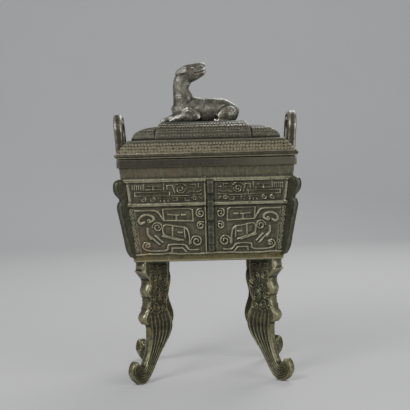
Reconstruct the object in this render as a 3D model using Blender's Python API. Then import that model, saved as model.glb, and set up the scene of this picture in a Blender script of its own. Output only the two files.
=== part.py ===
# A square covered bronze ding: a tapered vessel on four curled plate legs, with two loop
# handles and notched flanges, and a stepped hollow lid that carries a recumbent deer.
# Metres, +Z up. The front faces -Y, and the origin is on the ground below the middle.

import math

import bmesh
import bpy
from mathutils import Vector

# Vessel
LEG_HEIGHT = 0.1242
BODY_HEIGHT = 0.0950
RIM_HEIGHT = 0.0085
RIM_LENGTH = 0.1775
RIM_WIDTH = 0.143
RIM_OVERHANG = 0.0022
RIM_SOFTENING = 0.0009
BODY_TAPER = 0.0115
WALL = 0.0045
FLOOR = 0.005

# Bands of the walls, from the base upwards
BASE_MOULDING_HEIGHT = 0.0075
BASE_LINE_HEIGHT = 0.0016
MASK_HEIGHT = 0.0469
DIVIDER_HEIGHT = 0.0038
FRIEZE_HEIGHT = 0.0205
LEDGE_HEIGHT = 0.004
BELT_RELIEF = 0.0011

# Raised strokes of the masks and the dragon frieze
STROKE_WIDTH = 0.0021
STROKE_RELIEF = 0.0013
STROKE_ROOT = 0.0008
SEAM_OFFSET = 0.0029
MITRE_LIMIT = 1.4
SPIRAL_CORE = 0.28

# Flanges
CENTRE_FLANGE_THICKNESS = 0.0062
CENTRE_FLANGE_REACH = 0.0055
CENTRE_FLANGE_NOTCH = 0.0022
CENTRE_FLANGE_SLANT = 0.02
CENTRE_FLANGE_OVERLAP = 0.0016
CORNER_FLANGE_THICKNESS = 0.006
CORNER_FLANGE_REACH = 0.0102
CORNER_FLANGE_START = 0.0038
FLANGE_ROOT = 0.0035

# Legs, with the shares of their height where the thickness changes
LEG_INSET = 0.006
LEG_TOP_THICKNESS = 0.015
LEG_LOBE_THICKNESS = 0.0115
LEG_SHANK_THICKNESS = 0.0085
LEG_SHANK_END = 0.44
LEG_LOBES_START = 0.50
LEG_TOP_START = 0.90
LEG_ROOT = 0.003

# Handles
HANDLE_THICKNESS = 0.0092
HANDLE_POST = 0.0095
HANDLE_SPAN = 0.048
HANDLE_RISE = 0.0466
HANDLE_CORNER = 0.017
HANDLE_OUTSET = 0.0037
HANDLE_LEAN = math.radians(4.0)
HANDLE_ROOT = 0.0065
HANDLE_CHAMFER = 0.0018

# Lid
LID_GAP = 0.0003
LID_OVERHANG = 0.0019
LID_EDGE_HEIGHT = 0.0034
LID_UNDERCUT_HEIGHT = 0.0012
LID_UNDERCUT_DEPTH = 0.0035
LID_STEP = 0.0012
LID_SLOPE_HEIGHT = 0.0135
LID_SLOPE_RUN = 0.0121
LID_LEDGE = 0.003
LID_LEDGE_RISE = 0.0005
LID_MOUND_HEIGHT = 0.0135
LID_MOUND_RUN = 0.0257
LID_PLATFORM_HEIGHT = 0.0186
LID_PLATFORM_LENGTH = 0.085
LID_PLATFORM_WIDTH = 0.064
LID_PLATFORM_FLARE = 0.0055
LID_PLATFORM_OFFSET = -0.0025
LID_PLATFORM_ROOT = 0.002
LID_WALL = 0.004
LIP_DEPTH = 0.006
LIP_CLEARANCE = 0.0009
LIP_THICKNESS = 0.003
NOTCH_CLEARANCE = 0.0012

# Deer
DEER_HEIGHT = 0.0635
DEER_SIDES = 10

# Heights that follow from the sizes above
BODY_BOTTOM = LEG_HEIGHT
RIM_BOTTOM = BODY_BOTTOM + BODY_HEIGHT
RIM_TOP = RIM_BOTTOM + RIM_HEIGHT
MASK_BOTTOM = BODY_BOTTOM + BASE_MOULDING_HEIGHT + BASE_LINE_HEIGHT
MASK_TOP = MASK_BOTTOM + MASK_HEIGHT
FRIEZE_BOTTOM = MASK_TOP + DIVIDER_HEIGHT
FRIEZE_TOP = FRIEZE_BOTTOM + FRIEZE_HEIGHT
LID_BOTTOM = RIM_TOP + LID_GAP
LID_EDGE_BOTTOM = LID_BOTTOM + LID_UNDERCUT_HEIGHT
LID_EDGE_TOP = LID_EDGE_BOTTOM + LID_EDGE_HEIGHT
LID_SHOULDER = LID_EDGE_TOP + LID_SLOPE_HEIGHT
PLATFORM_TOP = LID_SHOULDER + LID_PLATFORM_HEIGHT

# Plan of the rim and the mouth, as half sizes along X and Y
RIM_HALF = Vector((RIM_LENGTH / 2, RIM_WIDTH / 2))
WALL_TOP_HALF = RIM_HALF - Vector((RIM_OVERHANG, RIM_OVERHANG))
MOUTH_HALF = WALL_TOP_HALF - Vector((WALL, WALL))
LID_HALF = RIM_HALF + Vector((LID_OVERHANG, LID_OVERHANG))

# The drawings below are laid out on grids, which these sizes stretch to the real piece
MASK_GRID = Vector((76.5, 46.0))
FRIEZE_GRID = Vector((76.5, 20.5))
LEG_GRID = 121.5
FLANGE_GRID = Vector((9.7, 80.0))
DEER_GRID = 60.0

# Sides of the platform, from its foot to its top: shares of the run and of the rise
PLATFORM_PROFILE = ((0.0, 0.08), (0.12, 0.45), (0.30, 0.70), (0.60, 0.88), (0.90, 0.957), (1.0, 1.0))

# Plain finish of the two castings
VESSEL_COLOUR = (0.075, 0.078, 0.045)
LID_COLOUR = (0.085, 0.085, 0.055)
BRONZE_ROUGHNESS = 0.5
BRONZE_METALLIC = 0.8


def clear_scene():
    for item in list(bpy.data.objects):
        bpy.data.objects.remove(item, do_unlink=True)


def new_collection(name):
    collection = bpy.data.collections.new(name)
    bpy.context.scene.collection.children.link(collection)
    return collection


def bronze(name, colour):
    material = bpy.data.materials.new(name)
    material.use_nodes = True
    shader = material.node_tree.nodes["Principled BSDF"]
    shader.inputs["Base Color"].default_value = (*colour, 1.0)
    shader.inputs["Roughness"].default_value = BRONZE_ROUGHNESS
    shader.inputs["Metallic"].default_value = BRONZE_METALLIC
    return material


def object_from_bmesh(name, shape, collection):
    bmesh.ops.recalc_face_normals(shape, faces=shape.faces)
    mesh = bpy.data.meshes.new(name)
    shape.to_mesh(mesh)
    shape.free()
    item = bpy.data.objects.new(name, mesh)
    collection.objects.link(item)
    return item


def combine(target, guides, operation):
    # All the guides of a collection are added to the target, or cut from it, in one go.
    for piece in guides.objects:
        piece.hide_render = True
        piece.display_type = "WIRE"
    modifier = target.modifiers.new(f"{operation.lower()}_{guides.name}", "BOOLEAN")
    modifier.operation = operation
    modifier.solver = "EXACT"
    modifier.operand_type = "COLLECTION"
    modifier.collection = guides


def rectangle_ring(half, z):
    return [Vector((x, y, z)) for x, y in (
        (-half.x, -half.y), (half.x, -half.y), (half.x, half.y), (-half.x, half.y))]


def loft(shape, rings):
    # Rings have equal counts of points; both ends are closed by flat faces.
    loops = [[shape.verts.new(point) for point in ring] for ring in rings]
    for lower, upper in zip(loops, loops[1:]):
        for index in range(len(lower)):
            following = (index + 1) % len(lower)
            shape.faces.new((lower[index], lower[following], upper[following], upper[index]))
    shape.faces.new(tuple(reversed(loops[0])))
    shape.faces.new(tuple(loops[-1]))


def stepped_block(name, levels, collection, offset=0.0):
    # Levels are pairs of a half plan and a height, from the bottom up; the offset is along X.
    shape = bmesh.new()
    loft(shape, [rectangle_ring(half, z) for half, z in levels])
    bmesh.ops.translate(shape, verts=shape.verts, vec=(offset, 0.0, 0.0))
    return object_from_bmesh(name, shape, collection)


def grown(half, amount):
    return Vector((half.x + amount, half.y + amount))


def wall_half(z):
    # Half plan of the tapered wall's outside at a height.
    share = (RIM_BOTTOM - z) / BODY_HEIGHT
    return grown(WALL_TOP_HALF, -BODY_TAPER * share)


def smooth_path(points, steps, closed):
    # A Catmull-Rom curve through the points.
    count = len(points)
    last = count if closed else count - 1
    path = []
    for index in range(last):
        if closed:
            p0, p1, p2, p3 = (Vector(points[(index + k) % count]) for k in (-1, 0, 1, 2))
        else:
            p0, p1, p2, p3 = (
                Vector(points[min(max(index + k, 0), count - 1)]) for k in (-1, 0, 1, 2))
        for step in range(steps):
            t = step / steps
            path.append(0.5 * (
                2 * p1 + (p2 - p0) * t
                + (2 * p0 - 5 * p1 + 4 * p2 - p3) * t * t
                + (3 * p1 - p0 - 3 * p2 + p3) * t * t * t))
    if not closed:
        path.append(Vector(points[-1]))
    return path


def arc(centre, radius, start, end, steps):
    # Angles in degrees, measured from +X towards +Y.
    return [
        Vector(centre) + radius * Vector((math.cos(angle), math.sin(angle)))
        for angle in (
            math.radians(start + (end - start) * step / steps) for step in range(steps + 1))]


def plate(outline, thickness, chamfer):
    # A flat outline given its thickness along its own Z, as a closed mesh.
    curve = bpy.data.curves.new("outline", "CURVE")
    curve.dimensions = "2D"
    curve.fill_mode = "BOTH"
    curve.extrude = thickness / 2 - chamfer
    curve.bevel_depth = chamfer
    curve.bevel_resolution = 0
    curve.offset = -chamfer
    spline = curve.splines.new("POLY")
    spline.points.add(len(outline) - 1)
    for point, place in zip(spline.points, outline):
        point.co = (place[0], place[1], 0.0, 1.0)
    spline.use_cyclic_u = True
    guide = bpy.data.objects.new("outline", curve)
    bpy.context.scene.collection.objects.link(guide)
    depsgraph = bpy.context.evaluated_depsgraph_get()
    mesh = bpy.data.meshes.new_from_object(guide.evaluated_get(depsgraph))
    bpy.data.objects.remove(guide, do_unlink=True)
    bpy.data.curves.remove(curve)
    shape = bmesh.new()
    shape.from_mesh(mesh)
    bpy.data.meshes.remove(mesh)
    bmesh.ops.remove_doubles(shape, verts=shape.verts, dist=0.00001)
    return shape


# Legs


def leg_outline():
    # Reach outwards from the leg's top corner, and height, on the leg's own grid.
    inner_edge = [
        (-31.6, 100), (-29.8, 76), (-33.4, 66), (-38.4, 56), (-38.6, 51), (-35.4, 44)]
    underside = [(-28.8, 35.4), (-20.4, 25.4), (-9.6, 9.6), (-4.4, 3.2)]
    sole = [(0.4, 0.0), (6.0, 0.0)]
    curl = [(11.8, 2.6), (16.2, 7.6), (17.2, 13.4), (15.4, 20.0), (10.6, 23.6), (7.4, 20.6)]
    shank = [(2.4, 16.6), (-0.2, 20.4), (-4.8, 31.8), (-6.5, 43.1), (-6.5, 53.6)]
    third_lobe = [(-6.0, 57.2), (-1.2, 59.0), (1.0, 65.4), (-3.2, 73.8), (-5.1, 81.6)]
    second_lobe = [(-4.8, 84.8), (-3.2, 87.2), (-2.4, 91.4), (-4.0, 96.6), (-4.6, 101.2)]
    first_lobe = [(-3.2, 104.2), (0.4, 108.4), (1.6, 113.0)]
    corners = inner_edge + underside + sole + curl + shank + third_lobe + second_lobe + first_lobe
    scale = LEG_HEIGHT / LEG_GRID
    smooth = [point * scale for point in smooth_path(corners, 2, True)[:-1]]
    top = LEG_HEIGHT + LEG_ROOT
    outline = [Vector((point.x, max(point.y, 0.0))) for point in smooth]
    outline.append(Vector((first_lobe[-1][0] * scale, top)))
    outline.append(Vector((inner_edge[0][0] * scale, top)))
    return outline


def leg_thickness(z):
    height = z / LEG_HEIGHT
    if height <= LEG_SHANK_END:
        return LEG_SHANK_THICKNESS
    if height <= LEG_LOBES_START:
        share = (height - LEG_SHANK_END) / (LEG_LOBES_START - LEG_SHANK_END)
        return LEG_SHANK_THICKNESS + share * (LEG_LOBE_THICKNESS - LEG_SHANK_THICKNESS)
    share = min(1.0, (height - LEG_LOBES_START) / (LEG_TOP_START - LEG_LOBES_START))
    return LEG_LOBE_THICKNESS + share * (LEG_TOP_THICKNESS - LEG_LOBE_THICKNESS)


def leg(name, side_x, side_y, collection):
    shape = plate(leg_outline(), LEG_SHANK_THICKNESS, 0.0)
    corner = grown(wall_half(BODY_BOTTOM), -LEG_INSET)
    diagonal = math.sqrt(0.5)
    for vertex in shape.verts:
        reach, height, across = vertex.co
        across *= leg_thickness(height) / LEG_SHANK_THICKNESS
        vertex.co = (
            side_x * (corner.x + diagonal * (reach + across)),
            side_y * (corner.y + diagonal * (reach - across)),
            height)
    return object_from_bmesh(name, shape, collection)


# Handles


def handle_outline():
    # An arch with rounded shoulders: across the loop, and height above the rim.
    half = HANDLE_SPAN / 2
    straight = HANDLE_RISE - HANDLE_CORNER
    inner_corner = HANDLE_CORNER - HANDLE_POST
    corner_steps = 4
    outer = arc((half - HANDLE_CORNER, straight), HANDLE_CORNER, 0, 90, corner_steps)
    outer += arc((HANDLE_CORNER - half, straight), HANDLE_CORNER, 90, 180, corner_steps)
    inner = arc((HANDLE_CORNER - half, straight), inner_corner, 180, 90, corner_steps)
    inner += arc((half - HANDLE_CORNER, straight), inner_corner, 90, 0, corner_steps)
    right_foot = [Vector((half - HANDLE_POST, -HANDLE_ROOT)), Vector((half, -HANDLE_ROOT))]
    left_foot = [Vector((-half, -HANDLE_ROOT)), Vector((HANDLE_POST - half, -HANDLE_ROOT))]
    return right_foot + outer + left_foot + inner


def handle(name, side, collection):
    shape = plate(handle_outline(), HANDLE_THICKNESS, HANDLE_CHAMFER)
    middle = RIM_HALF.x + HANDLE_OUTSET - HANDLE_THICKNESS / 2
    for vertex in shape.verts:
        along, height, across = vertex.co
        lean = max(height, 0.0) * math.tan(HANDLE_LEAN)
        vertex.co = (side * (middle + across + lean), along, RIM_TOP + height)
    return object_from_bmesh(name, shape, collection)


# Flanges


def centre_flange_outline():
    # Three segments parted by notches: reach from the wall, and height along it.
    top = FRIEZE_TOP + CENTRE_FLANGE_OVERLAP
    bottom = MASK_BOTTOM
    span = top - bottom
    segments = ((0.0, 0.38, 0.72), (0.43, 0.73, 0.86), (0.80, 1.0, 1.0))
    outline = [Vector((-FLANGE_ROOT, bottom))]
    for low, high, share in segments:
        reach = CENTRE_FLANGE_REACH * share
        outline.append(Vector((CENTRE_FLANGE_NOTCH, bottom + span * low)))
        outline.append(Vector((reach, bottom + span * (low + CENTRE_FLANGE_SLANT))))
        outline.append(Vector((reach, bottom + span * (high - CENTRE_FLANGE_SLANT))))
        outline.append(Vector((CENTRE_FLANGE_NOTCH, bottom + span * high)))
    outline.append(Vector((-FLANGE_ROOT, top)))
    return outline


def corner_flange_outline():
    # Two rounded lobes on the flange's own grid, the lower one tapering to the base.
    lobes = [
        (2.6, 2.0), (5.4, 8.0), (6.6, 20.0), (7.4, 34.0), (8.6, 44.0), (8.8, 52.0),
        (6.8, 57.0), (4.6, 58.6), (5.4, 61.4), (9.2, 66.0), (9.7, 72.0), (7.4, 77.2), (2.4, 79.6)]
    bottom = BODY_BOTTOM + CORNER_FLANGE_START
    top = FRIEZE_TOP + LEDGE_HEIGHT
    outline = [
        Vector((
            reach / FLANGE_GRID.x * CORNER_FLANGE_REACH,
            bottom + height / FLANGE_GRID.y * (top - bottom)))
        for reach, height in lobes]
    outline.append(Vector((-FLANGE_ROOT, top)))
    outline.append(Vector((-FLANGE_ROOT, bottom)))
    return outline


def centre_flange(name, face, collection):
    shape = plate(centre_flange_outline(), CENTRE_FLANGE_THICKNESS, 0.0)
    for vertex in shape.verts:
        reach, height, across = vertex.co
        vertex.co = on_wall(face, across + SEAM_OFFSET, height, reach)
    return object_from_bmesh(name, shape, collection)


def corner_flange(name, side_x, side_y, collection):
    shape = plate(corner_flange_outline(), CORNER_FLANGE_THICKNESS, 0.0)
    diagonal = math.sqrt(0.5)
    for vertex in shape.verts:
        reach, height, across = vertex.co
        corner = wall_half(height)
        vertex.co = (
            side_x * (corner.x + diagonal * (reach + across)),
            side_y * (corner.y + diagonal * (reach - across)),
            height)
    return object_from_bmesh(name, shape, collection)


CORNERS = (
    ("front_left", -1, -1), ("front_right", 1, -1), ("back_left", -1, 1), ("back_right", 1, 1))


# Raised strokes


# Each face is its direction along the wall and its outward direction.
FACES = {
    "front": (Vector((1, 0)), Vector((0, -1))),
    "right": (Vector((0, 1)), Vector((1, 0))),
    "back": (Vector((-1, 0)), Vector((0, 1))),
    "left": (Vector((0, -1)), Vector((-1, 0)))}


def on_wall(face, along, z, out):
    # A point of a wall's outside: how far along it, its height, and how far it stands out.
    direction, outward = FACES[face]
    half = wall_half(z)
    distance = abs(outward.x) * half.x + abs(outward.y) * half.y + out
    return Vector((*(direction * along + outward * distance), z))


def half_length(face, z):
    direction = FACES[face][0]
    half = wall_half(z)
    return abs(direction.x) * half.x + abs(direction.y) * half.y


def spiral(centre, outer, turns, start, steps_a_turn=7):
    # A scroll that winds inwards; negative turns wind clockwise.
    steps = max(3, round(abs(turns) * steps_a_turn))
    inner = outer * SPIRAL_CORE
    points = []
    for step in range(steps + 1):
        share = step / steps
        radius = outer + (inner - outer) * share
        angle = math.radians(start) + share * turns * math.tau
        points.append(Vector(centre) + radius * Vector((math.cos(angle), math.sin(angle))))
    return points


def mask_strokes():
    # Half of an animal mask on its grid: from the centre flange outwards, and upwards.
    horn = [(16.4, 32.2), (18.6, 43.6), (45.4, 43.6), (44.0, 33.2), (16.4, 32.2)]
    horn_slit = [(23.4, 38.6), (39.0, 38.6)]
    brow = [(44.0, 33.2), (50.4, 41.2), (58.0, 43.0), (70.0, 43.2)]
    crest = [(56.2, 32.4), (52.8, 33.6), (54.6, 36.6), (60.2, 38.2), (65.6, 36.4), (68.0, 32.4),
             (66.0, 29.4), (63.2, 31.0)]
    eye = [(21.0, 8.4), (21.2, 17.6), (24.2, 24.4), (33.0, 26.4), (44.6, 27.8), (45.2, 18.6),
           (36.0, 15.6), (27.2, 12.6)]
    jaw = [(7.0, 2.2), (20.2, 2.6), (26.2, 8.0), (41.0, 7.8), (44.2, 2.4), (60.0, 2.8),
           (65.6, 7.4), (62.6, 11.4), (58.2, 9.4)]
    body = [(55.6, 26.8), (60.2, 20.0), (54.6, 12.4), (48.6, 9.4)]
    pupil = [(29.6, 19.8), (33.8, 20.6)]
    return [
        horn, horn_slit, brow, crest, eye, jaw, body, pupil,
        spiral((9.4, 39.0), 4.6, -1.3, 100),
        spiral((10.2, 26.6), 3.9, -1.2, 130),
        spiral((50.2, 26.0), 4.2, 1.2, 0),
        spiral((13.4, 11.4), 5.6, 1.3, -20)]


def frieze_strokes():
    # Half of the dragon band on its grid.
    ring = spiral((24.6, 12.0), 4.4, 1.0, 180)
    bar = [(36.0, 10.8), (66.5, 11.0), (66.5, 7.4), (36.0, 7.2), (36.0, 10.8)]
    crest = [(36.0, 17.6), (47.0, 18.0), (52.4, 14.6), (62.0, 17.6), (74.0, 17.4)]
    jaw = [(9.6, 17.6), (18.6, 17.4), (16.4, 9.4), (10.0, 9.2)]
    belly = [(9.0, 3.8), (20.0, 4.2), (30.4, 3.6), (45.0, 3.6)]
    return [
        ring, bar, crest, jaw, belly,
        spiral((50.8, 3.9), 2.6, 1.1, 90, 6), spiral((58.6, 3.9), 2.6, 1.1, 90, 6)]


def stroke(shape, face, path, width):
    # A ridge with sloping sides that follows a path of (along, height) points on a wall.
    closed = (path[0] - path[-1]).length < 1e-7
    points = path[:-1] if closed else path
    count = len(points)
    rings = []
    for index, point in enumerate(points):
        before = points[index - 1] if closed or index > 0 else point
        after = points[(index + 1) % count] if closed or index < count - 1 else point
        first = (point - before).normalized() if (point - before).length > 0 else None
        second = (after - point).normalized() if (after - point).length > 0 else None
        first = first or second
        second = second or first
        tangent = (first + second).normalized()
        sideways = Vector((-tangent.y, tangent.x))
        mitre = 1 / max(tangent.dot(second), 1 / MITRE_LIMIT)
        offset = sideways * (width / 2 * mitre)
        foot_a = point + offset
        foot_b = point - offset
        rings.append([
            on_wall(face, foot_a.x, foot_a.y, -STROKE_ROOT),
            on_wall(face, point.x, point.y, STROKE_RELIEF),
            on_wall(face, foot_b.x, foot_b.y, -STROKE_ROOT)])
    loops = [[shape.verts.new(place) for place in ring] for ring in rings]
    pairs = list(zip(loops, loops[1:] + loops[:1])) if closed else list(zip(loops, loops[1:]))
    for one, two in pairs:
        for index in range(3):
            following = (index + 1) % 3
            shape.faces.new((one[index], one[following], two[following], two[index]))
    if not closed:
        shape.faces.new(tuple(reversed(loops[0])))
        shape.faces.new(tuple(loops[-1]))


def wall_relief(face, collection):
    # Each stroke is a guide of its own, so that strokes may run into each other.
    narrow = abs(FACES[face][0].y) > 0.5
    count = 0
    bands = (
        (mask_strokes(), MASK_GRID, MASK_BOTTOM, MASK_HEIGHT),
        (frieze_strokes(), FRIEZE_GRID, FRIEZE_BOTTOM, FRIEZE_HEIGHT))
    for strokes, grid, bottom, height in bands:
        if narrow:
            # The narrow walls are plainer: the last two scrolls are left out.
            del strokes[-2:]
        reach = half_length(face, bottom)
        for side in (-1, 1):
            for drawn in strokes:
                path = [
                    Vector((
                        SEAM_OFFSET + side * p[0] / grid.x * (reach - side * SEAM_OFFSET),
                        bottom + p[1] / grid.y * height))
                    for p in drawn]
                shape = bmesh.new()
                stroke(shape, face, path, STROKE_WIDTH)
                object_from_bmesh(f"relief_{face}_{count}", shape, collection)
                count += 1


# Vessel


def belt(name, low, high, collection):
    # A band that stands a little proud all round the tapered walls.
    return stepped_block(name, [
        (grown(wall_half(low), BELT_RELIEF), low),
        (grown(wall_half(high), BELT_RELIEF), high)], collection)


def vessel(parts):
    added = new_collection("vessel_additions")
    cut = new_collection("vessel_cuts")
    body = stepped_block("vessel", [
        (wall_half(BODY_BOTTOM), BODY_BOTTOM),
        (wall_half(RIM_BOTTOM + RIM_HEIGHT / 2), RIM_BOTTOM + RIM_HEIGHT / 2)], parts)
    stepped_block("rim", [
        (grown(RIM_HALF, -RIM_SOFTENING), RIM_BOTTOM),
        (RIM_HALF, RIM_BOTTOM + RIM_SOFTENING),
        (RIM_HALF, RIM_TOP - RIM_SOFTENING),
        (grown(RIM_HALF, -RIM_SOFTENING), RIM_TOP)], added)
    belt("base_line", BODY_BOTTOM + BASE_MOULDING_HEIGHT, MASK_BOTTOM, added)
    belt("divider", MASK_TOP, FRIEZE_BOTTOM, added)
    belt("ledge", FRIEZE_TOP, FRIEZE_TOP + LEDGE_HEIGHT, added)
    for name, side_x, side_y in CORNERS:
        leg(f"leg_{name}", side_x, side_y, added)
        corner_flange(f"flange_{name}", side_x, side_y, added)
    for face in FACES:
        centre_flange(f"flange_{face}", face, added)
        wall_relief(face, added)
    handle("handle_left", -1, added)
    handle("handle_right", 1, added)
    stepped_block("cavity", [
        (grown(wall_half(BODY_BOTTOM + FLOOR), -WALL), BODY_BOTTOM + FLOOR),
        (MOUTH_HALF, RIM_BOTTOM),
        (MOUTH_HALF, RIM_TOP + RIM_HEIGHT)], cut)
    combine(body, added, "UNION")
    combine(body, cut, "DIFFERENCE")
    body.data.materials.append(bronze("cast_bronze", VESSEL_COLOUR))


# Lid


def lid_levels():
    shoulder = grown(LID_HALF, -LID_STEP - LID_SLOPE_RUN)
    return [
        (grown(LID_HALF, -LID_UNDERCUT_DEPTH), LID_BOTTOM),
        (LID_HALF, LID_EDGE_BOTTOM),
        (LID_HALF, LID_EDGE_TOP - LID_STEP / 2),
        (grown(LID_HALF, -LID_STEP), LID_EDGE_TOP),
        (shoulder, LID_SHOULDER),
        (grown(shoulder, -LID_LEDGE), LID_SHOULDER + LID_LEDGE_RISE)]


def mound_levels(inset):
    # The rounded tier on the ledge; the inset gives the same form for the hollow below it.
    ledge = grown(lid_levels()[-1][0], -inset)
    steps = 4
    levels = []
    for step in range(steps + 1):
        angle = math.radians(90) * step / steps
        levels.append((
            grown(ledge, -LID_MOUND_RUN * (1 - math.cos(angle))),
            LID_SHOULDER + LID_LEDGE_RISE + LID_MOUND_HEIGHT * math.sin(angle)))
    return levels


def platform_levels():
    shoulder = lid_levels()[-1][0]
    foot = Vector((LID_PLATFORM_LENGTH / 2 + LID_PLATFORM_FLARE, shoulder.y + LID_LEDGE / 2))
    top = Vector((LID_PLATFORM_LENGTH / 2, LID_PLATFORM_WIDTH / 2))
    return [(foot, LID_SHOULDER - LID_PLATFORM_ROOT)] + [
        (foot.lerp(top, run), LID_SHOULDER + LID_PLATFORM_HEIGHT * rise)
        for run, rise in PLATFORM_PROFILE]


def lid_hollow_levels():
    lip_inner = grown(MOUTH_HALF, -LIP_CLEARANCE - LIP_THICKNESS)
    shoulder = grown(lid_levels()[4][0], -LID_WALL / 2)
    mound = mound_levels(LID_WALL)
    return [
        (lip_inner, LID_BOTTOM - LIP_DEPTH * 2),
        (lip_inner, LID_EDGE_TOP),
        (shoulder, LID_SHOULDER - LID_WALL),
        (grown(mound[2][0], -LID_WALL), mound[2][1] - LID_WALL),
        (grown(mound[4][0], -LID_WALL), mound[4][1] - LID_WALL)]


def platform_hollow_levels():
    half = Vector((LID_PLATFORM_LENGTH / 2, LID_PLATFORM_WIDTH / 2))
    return [
        (grown(half, -LID_WALL), LID_SHOULDER),
        (grown(half, -LID_WALL), PLATFORM_TOP - LID_WALL)]


def lip(collection):
    outer = grown(MOUTH_HALF, -LIP_CLEARANCE)
    return stepped_block("lip", [
        (grown(outer, -RIM_SOFTENING), LID_BOTTOM - LIP_DEPTH),
        (outer, LID_BOTTOM - LIP_DEPTH + RIM_SOFTENING),
        (outer, LID_EDGE_TOP)], collection)


def handle_notch(name, side, collection):
    # A cut through the lid's short edge, which the handle stands in.
    inner = RIM_HALF.x + HANDLE_OUTSET - HANDLE_THICKNESS - NOTCH_CLEARANCE
    outer = LID_HALF.x + HANDLE_THICKNESS
    half_span = HANDLE_SPAN / 2 + NOTCH_CLEARANCE
    middle = (inner + outer) / 2
    shape = bmesh.new()
    bmesh.ops.create_cube(shape, size=1.0)
    height = LID_SHOULDER - RIM_TOP + LID_WALL
    for vertex in shape.verts:
        vertex.co = (
            side * middle + vertex.co.x * (outer - inner),
            vertex.co.y * 2 * half_span,
            RIM_TOP - LID_GAP + height / 2 + vertex.co.z * height)
    return object_from_bmesh(name, shape, collection)


# Deer


def limb(name, sections, collection, sides=DEER_SIDES):
    # A body of oval sections along a spine. Each section is its place on the deer's grid
    # (along, across, up), its half width across and its half depth in the deer's side view.
    spine = [Vector(section[:3]) for section in sections]
    scale = DEER_HEIGHT / DEER_GRID
    shape = bmesh.new()
    rings = []
    for index, section in enumerate(sections):
        before = spine[max(index - 1, 0)]
        after = spine[min(index + 1, len(spine) - 1)]
        tangent = (after - before).normalized()
        upward = Vector((-tangent.z, 0.0, tangent.x)).normalized()
        across = tangent.cross(upward).normalized()
        half_width, half_depth = section[3:]
        ring = []
        for side in range(sides):
            angle = math.tau * (side + 0.5) / sides
            place = (spine[index] + across * half_width * math.cos(angle)
                     + upward * half_depth * math.sin(angle))
            ring.append(place * scale + Vector((0.0, 0.0, PLATFORM_TOP)))
        rings.append(ring)
    loft(shape, rings)
    return object_from_bmesh(name, shape, collection)


def deer(collection):
    pieces = [
        limb("deer_body", [
            (-32, 0, 9.0, 4.0, 5.0), (-29, 0, 9.8, 7.6, 8.6), (-23, 0, 10.4, 9.6, 11.6),
            (-12, 0, 11.2, 10.4, 12.4), (2, 0, 10.8, 10.8, 12.2), (15, 0, 10.2, 11.2, 11.9),
            (22, 0, 9.4, 10.6, 11.4), (29, 0, 7.2, 8.4, 8.8), (33.6, 0, 4.6, 4.6, 5.6)],
             collection),
        limb("deer_neck", [
            (-21.5, 0, 12, 8.6, 8.8), (-20.5, 0, 22, 7.6, 11.0), (-22.3, 0, 28, 6.8, 9.3),
            (-23.6, 0, 34, 6.2, 7.8), (-21.5, 0, 40, 5.8, 9.0), (-18.0, 0, 46, 5.4, 8.0)],
             collection),
        limb("deer_head", [
            (-26.2, 0, 45.0, 2.6, 3.2), (-24.0, 0, 46.5, 5.2, 6.0), (-18.0, 0, 47.6, 6.2, 8.8),
            (-11.5, 0, 49.2, 5.6, 9.0), (-5.5, 0, 51.2, 4.3, 7.6), (-0.5, 0, 52.8, 3.9, 6.4),
            (2.2, 0, 53.2, 2.6, 4.2)], collection)]
    small = 6
    forelegs = {
        "near": [(-8, -8.4, 5.4, 3.4, 4.8), (-20, -8.6, 6.0, 3.2, 5.2), (-28, -7.4, 3.8, 2.8, 3.8),
                 (-35, -6.4, 1.2, 2.2, 2.0)],
        "far": [(-10, 6.0, 6.0, 3.4, 5.0), (-27, 6.4, 5.5, 3.0, 5.0), (-36, 6.2, 3.2, 2.6, 3.6),
                (-44, 6.0, 1.2, 2.0, 2.0)]}
    for name, side in (("near", -1), ("far", 1)):
        pieces.append(limb(f"deer_ear_{name}", [
            (-17.0, side * 4.4, 52.0, 1.6, 2.2), (-20.4, side * 6.8, 50.6, 1.8, 3.0),
            (-25.6, side * 9.0, 48.0, 0.7, 1.0)], collection, small))
        pieces.append(limb(f"deer_foreleg_{name}", forelegs[name], collection, small))
        pieces.append(limb(f"deer_haunch_{name}", [
            (31.0, side * 6.4, 5.6, 3.0, 4.4), (26.0, side * 8.0, 7.0, 5.0, 8.0),
            (19.0, side * 8.8, 6.2, 4.8, 7.4), (13.0, side * 9.6, 3.2, 3.2, 4.4)],
            collection, small + 2))
        pieces.append(limb(f"deer_hind_hoof_{name}", [
            (23.0, side * 10.4, 1.4, 2.2, 2.6), (14.0, side * 10.8, 1.2, 2.0, 2.2),
            (9.0, side * 10.4, 1.0, 1.5, 1.8)], collection, small))


def lid(parts):
    added = new_collection("lid_additions")
    cut = new_collection("lid_cuts")
    cover = stepped_block("lid", lid_levels(), parts)
    mound = mound_levels(0.0)
    lip(added)
    stepped_block("mound", [(mound[0][0], LID_SHOULDER - LID_STEP)] + mound[1:], added)
    stepped_block("platform", platform_levels(), added, LID_PLATFORM_OFFSET)
    deer(added)
    stepped_block("lid_hollow", lid_hollow_levels(), cut)
    stepped_block("platform_hollow", platform_hollow_levels(), cut, LID_PLATFORM_OFFSET)
    handle_notch("notch_left", -1, cut)
    handle_notch("notch_right", 1, cut)
    combine(cover, added, "UNION")
    combine(cover, cut, "DIFFERENCE")
    cover.data.materials.append(bronze("lid_bronze", LID_COLOUR))


def main():
    clear_scene()
    parts = new_collection("covered_square_ding")
    vessel(parts)
    lid(parts)


main()
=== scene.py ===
"""Looks of a covered square bronze ding: cast walls, plate legs, handles, lid and deer."""

import logging
import math
from dataclasses import dataclass, field
from enum import Enum
from typing import Callable, Sequence

import bmesh
import bpy
import numpy as np
from mathutils import Matrix, Vector


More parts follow.
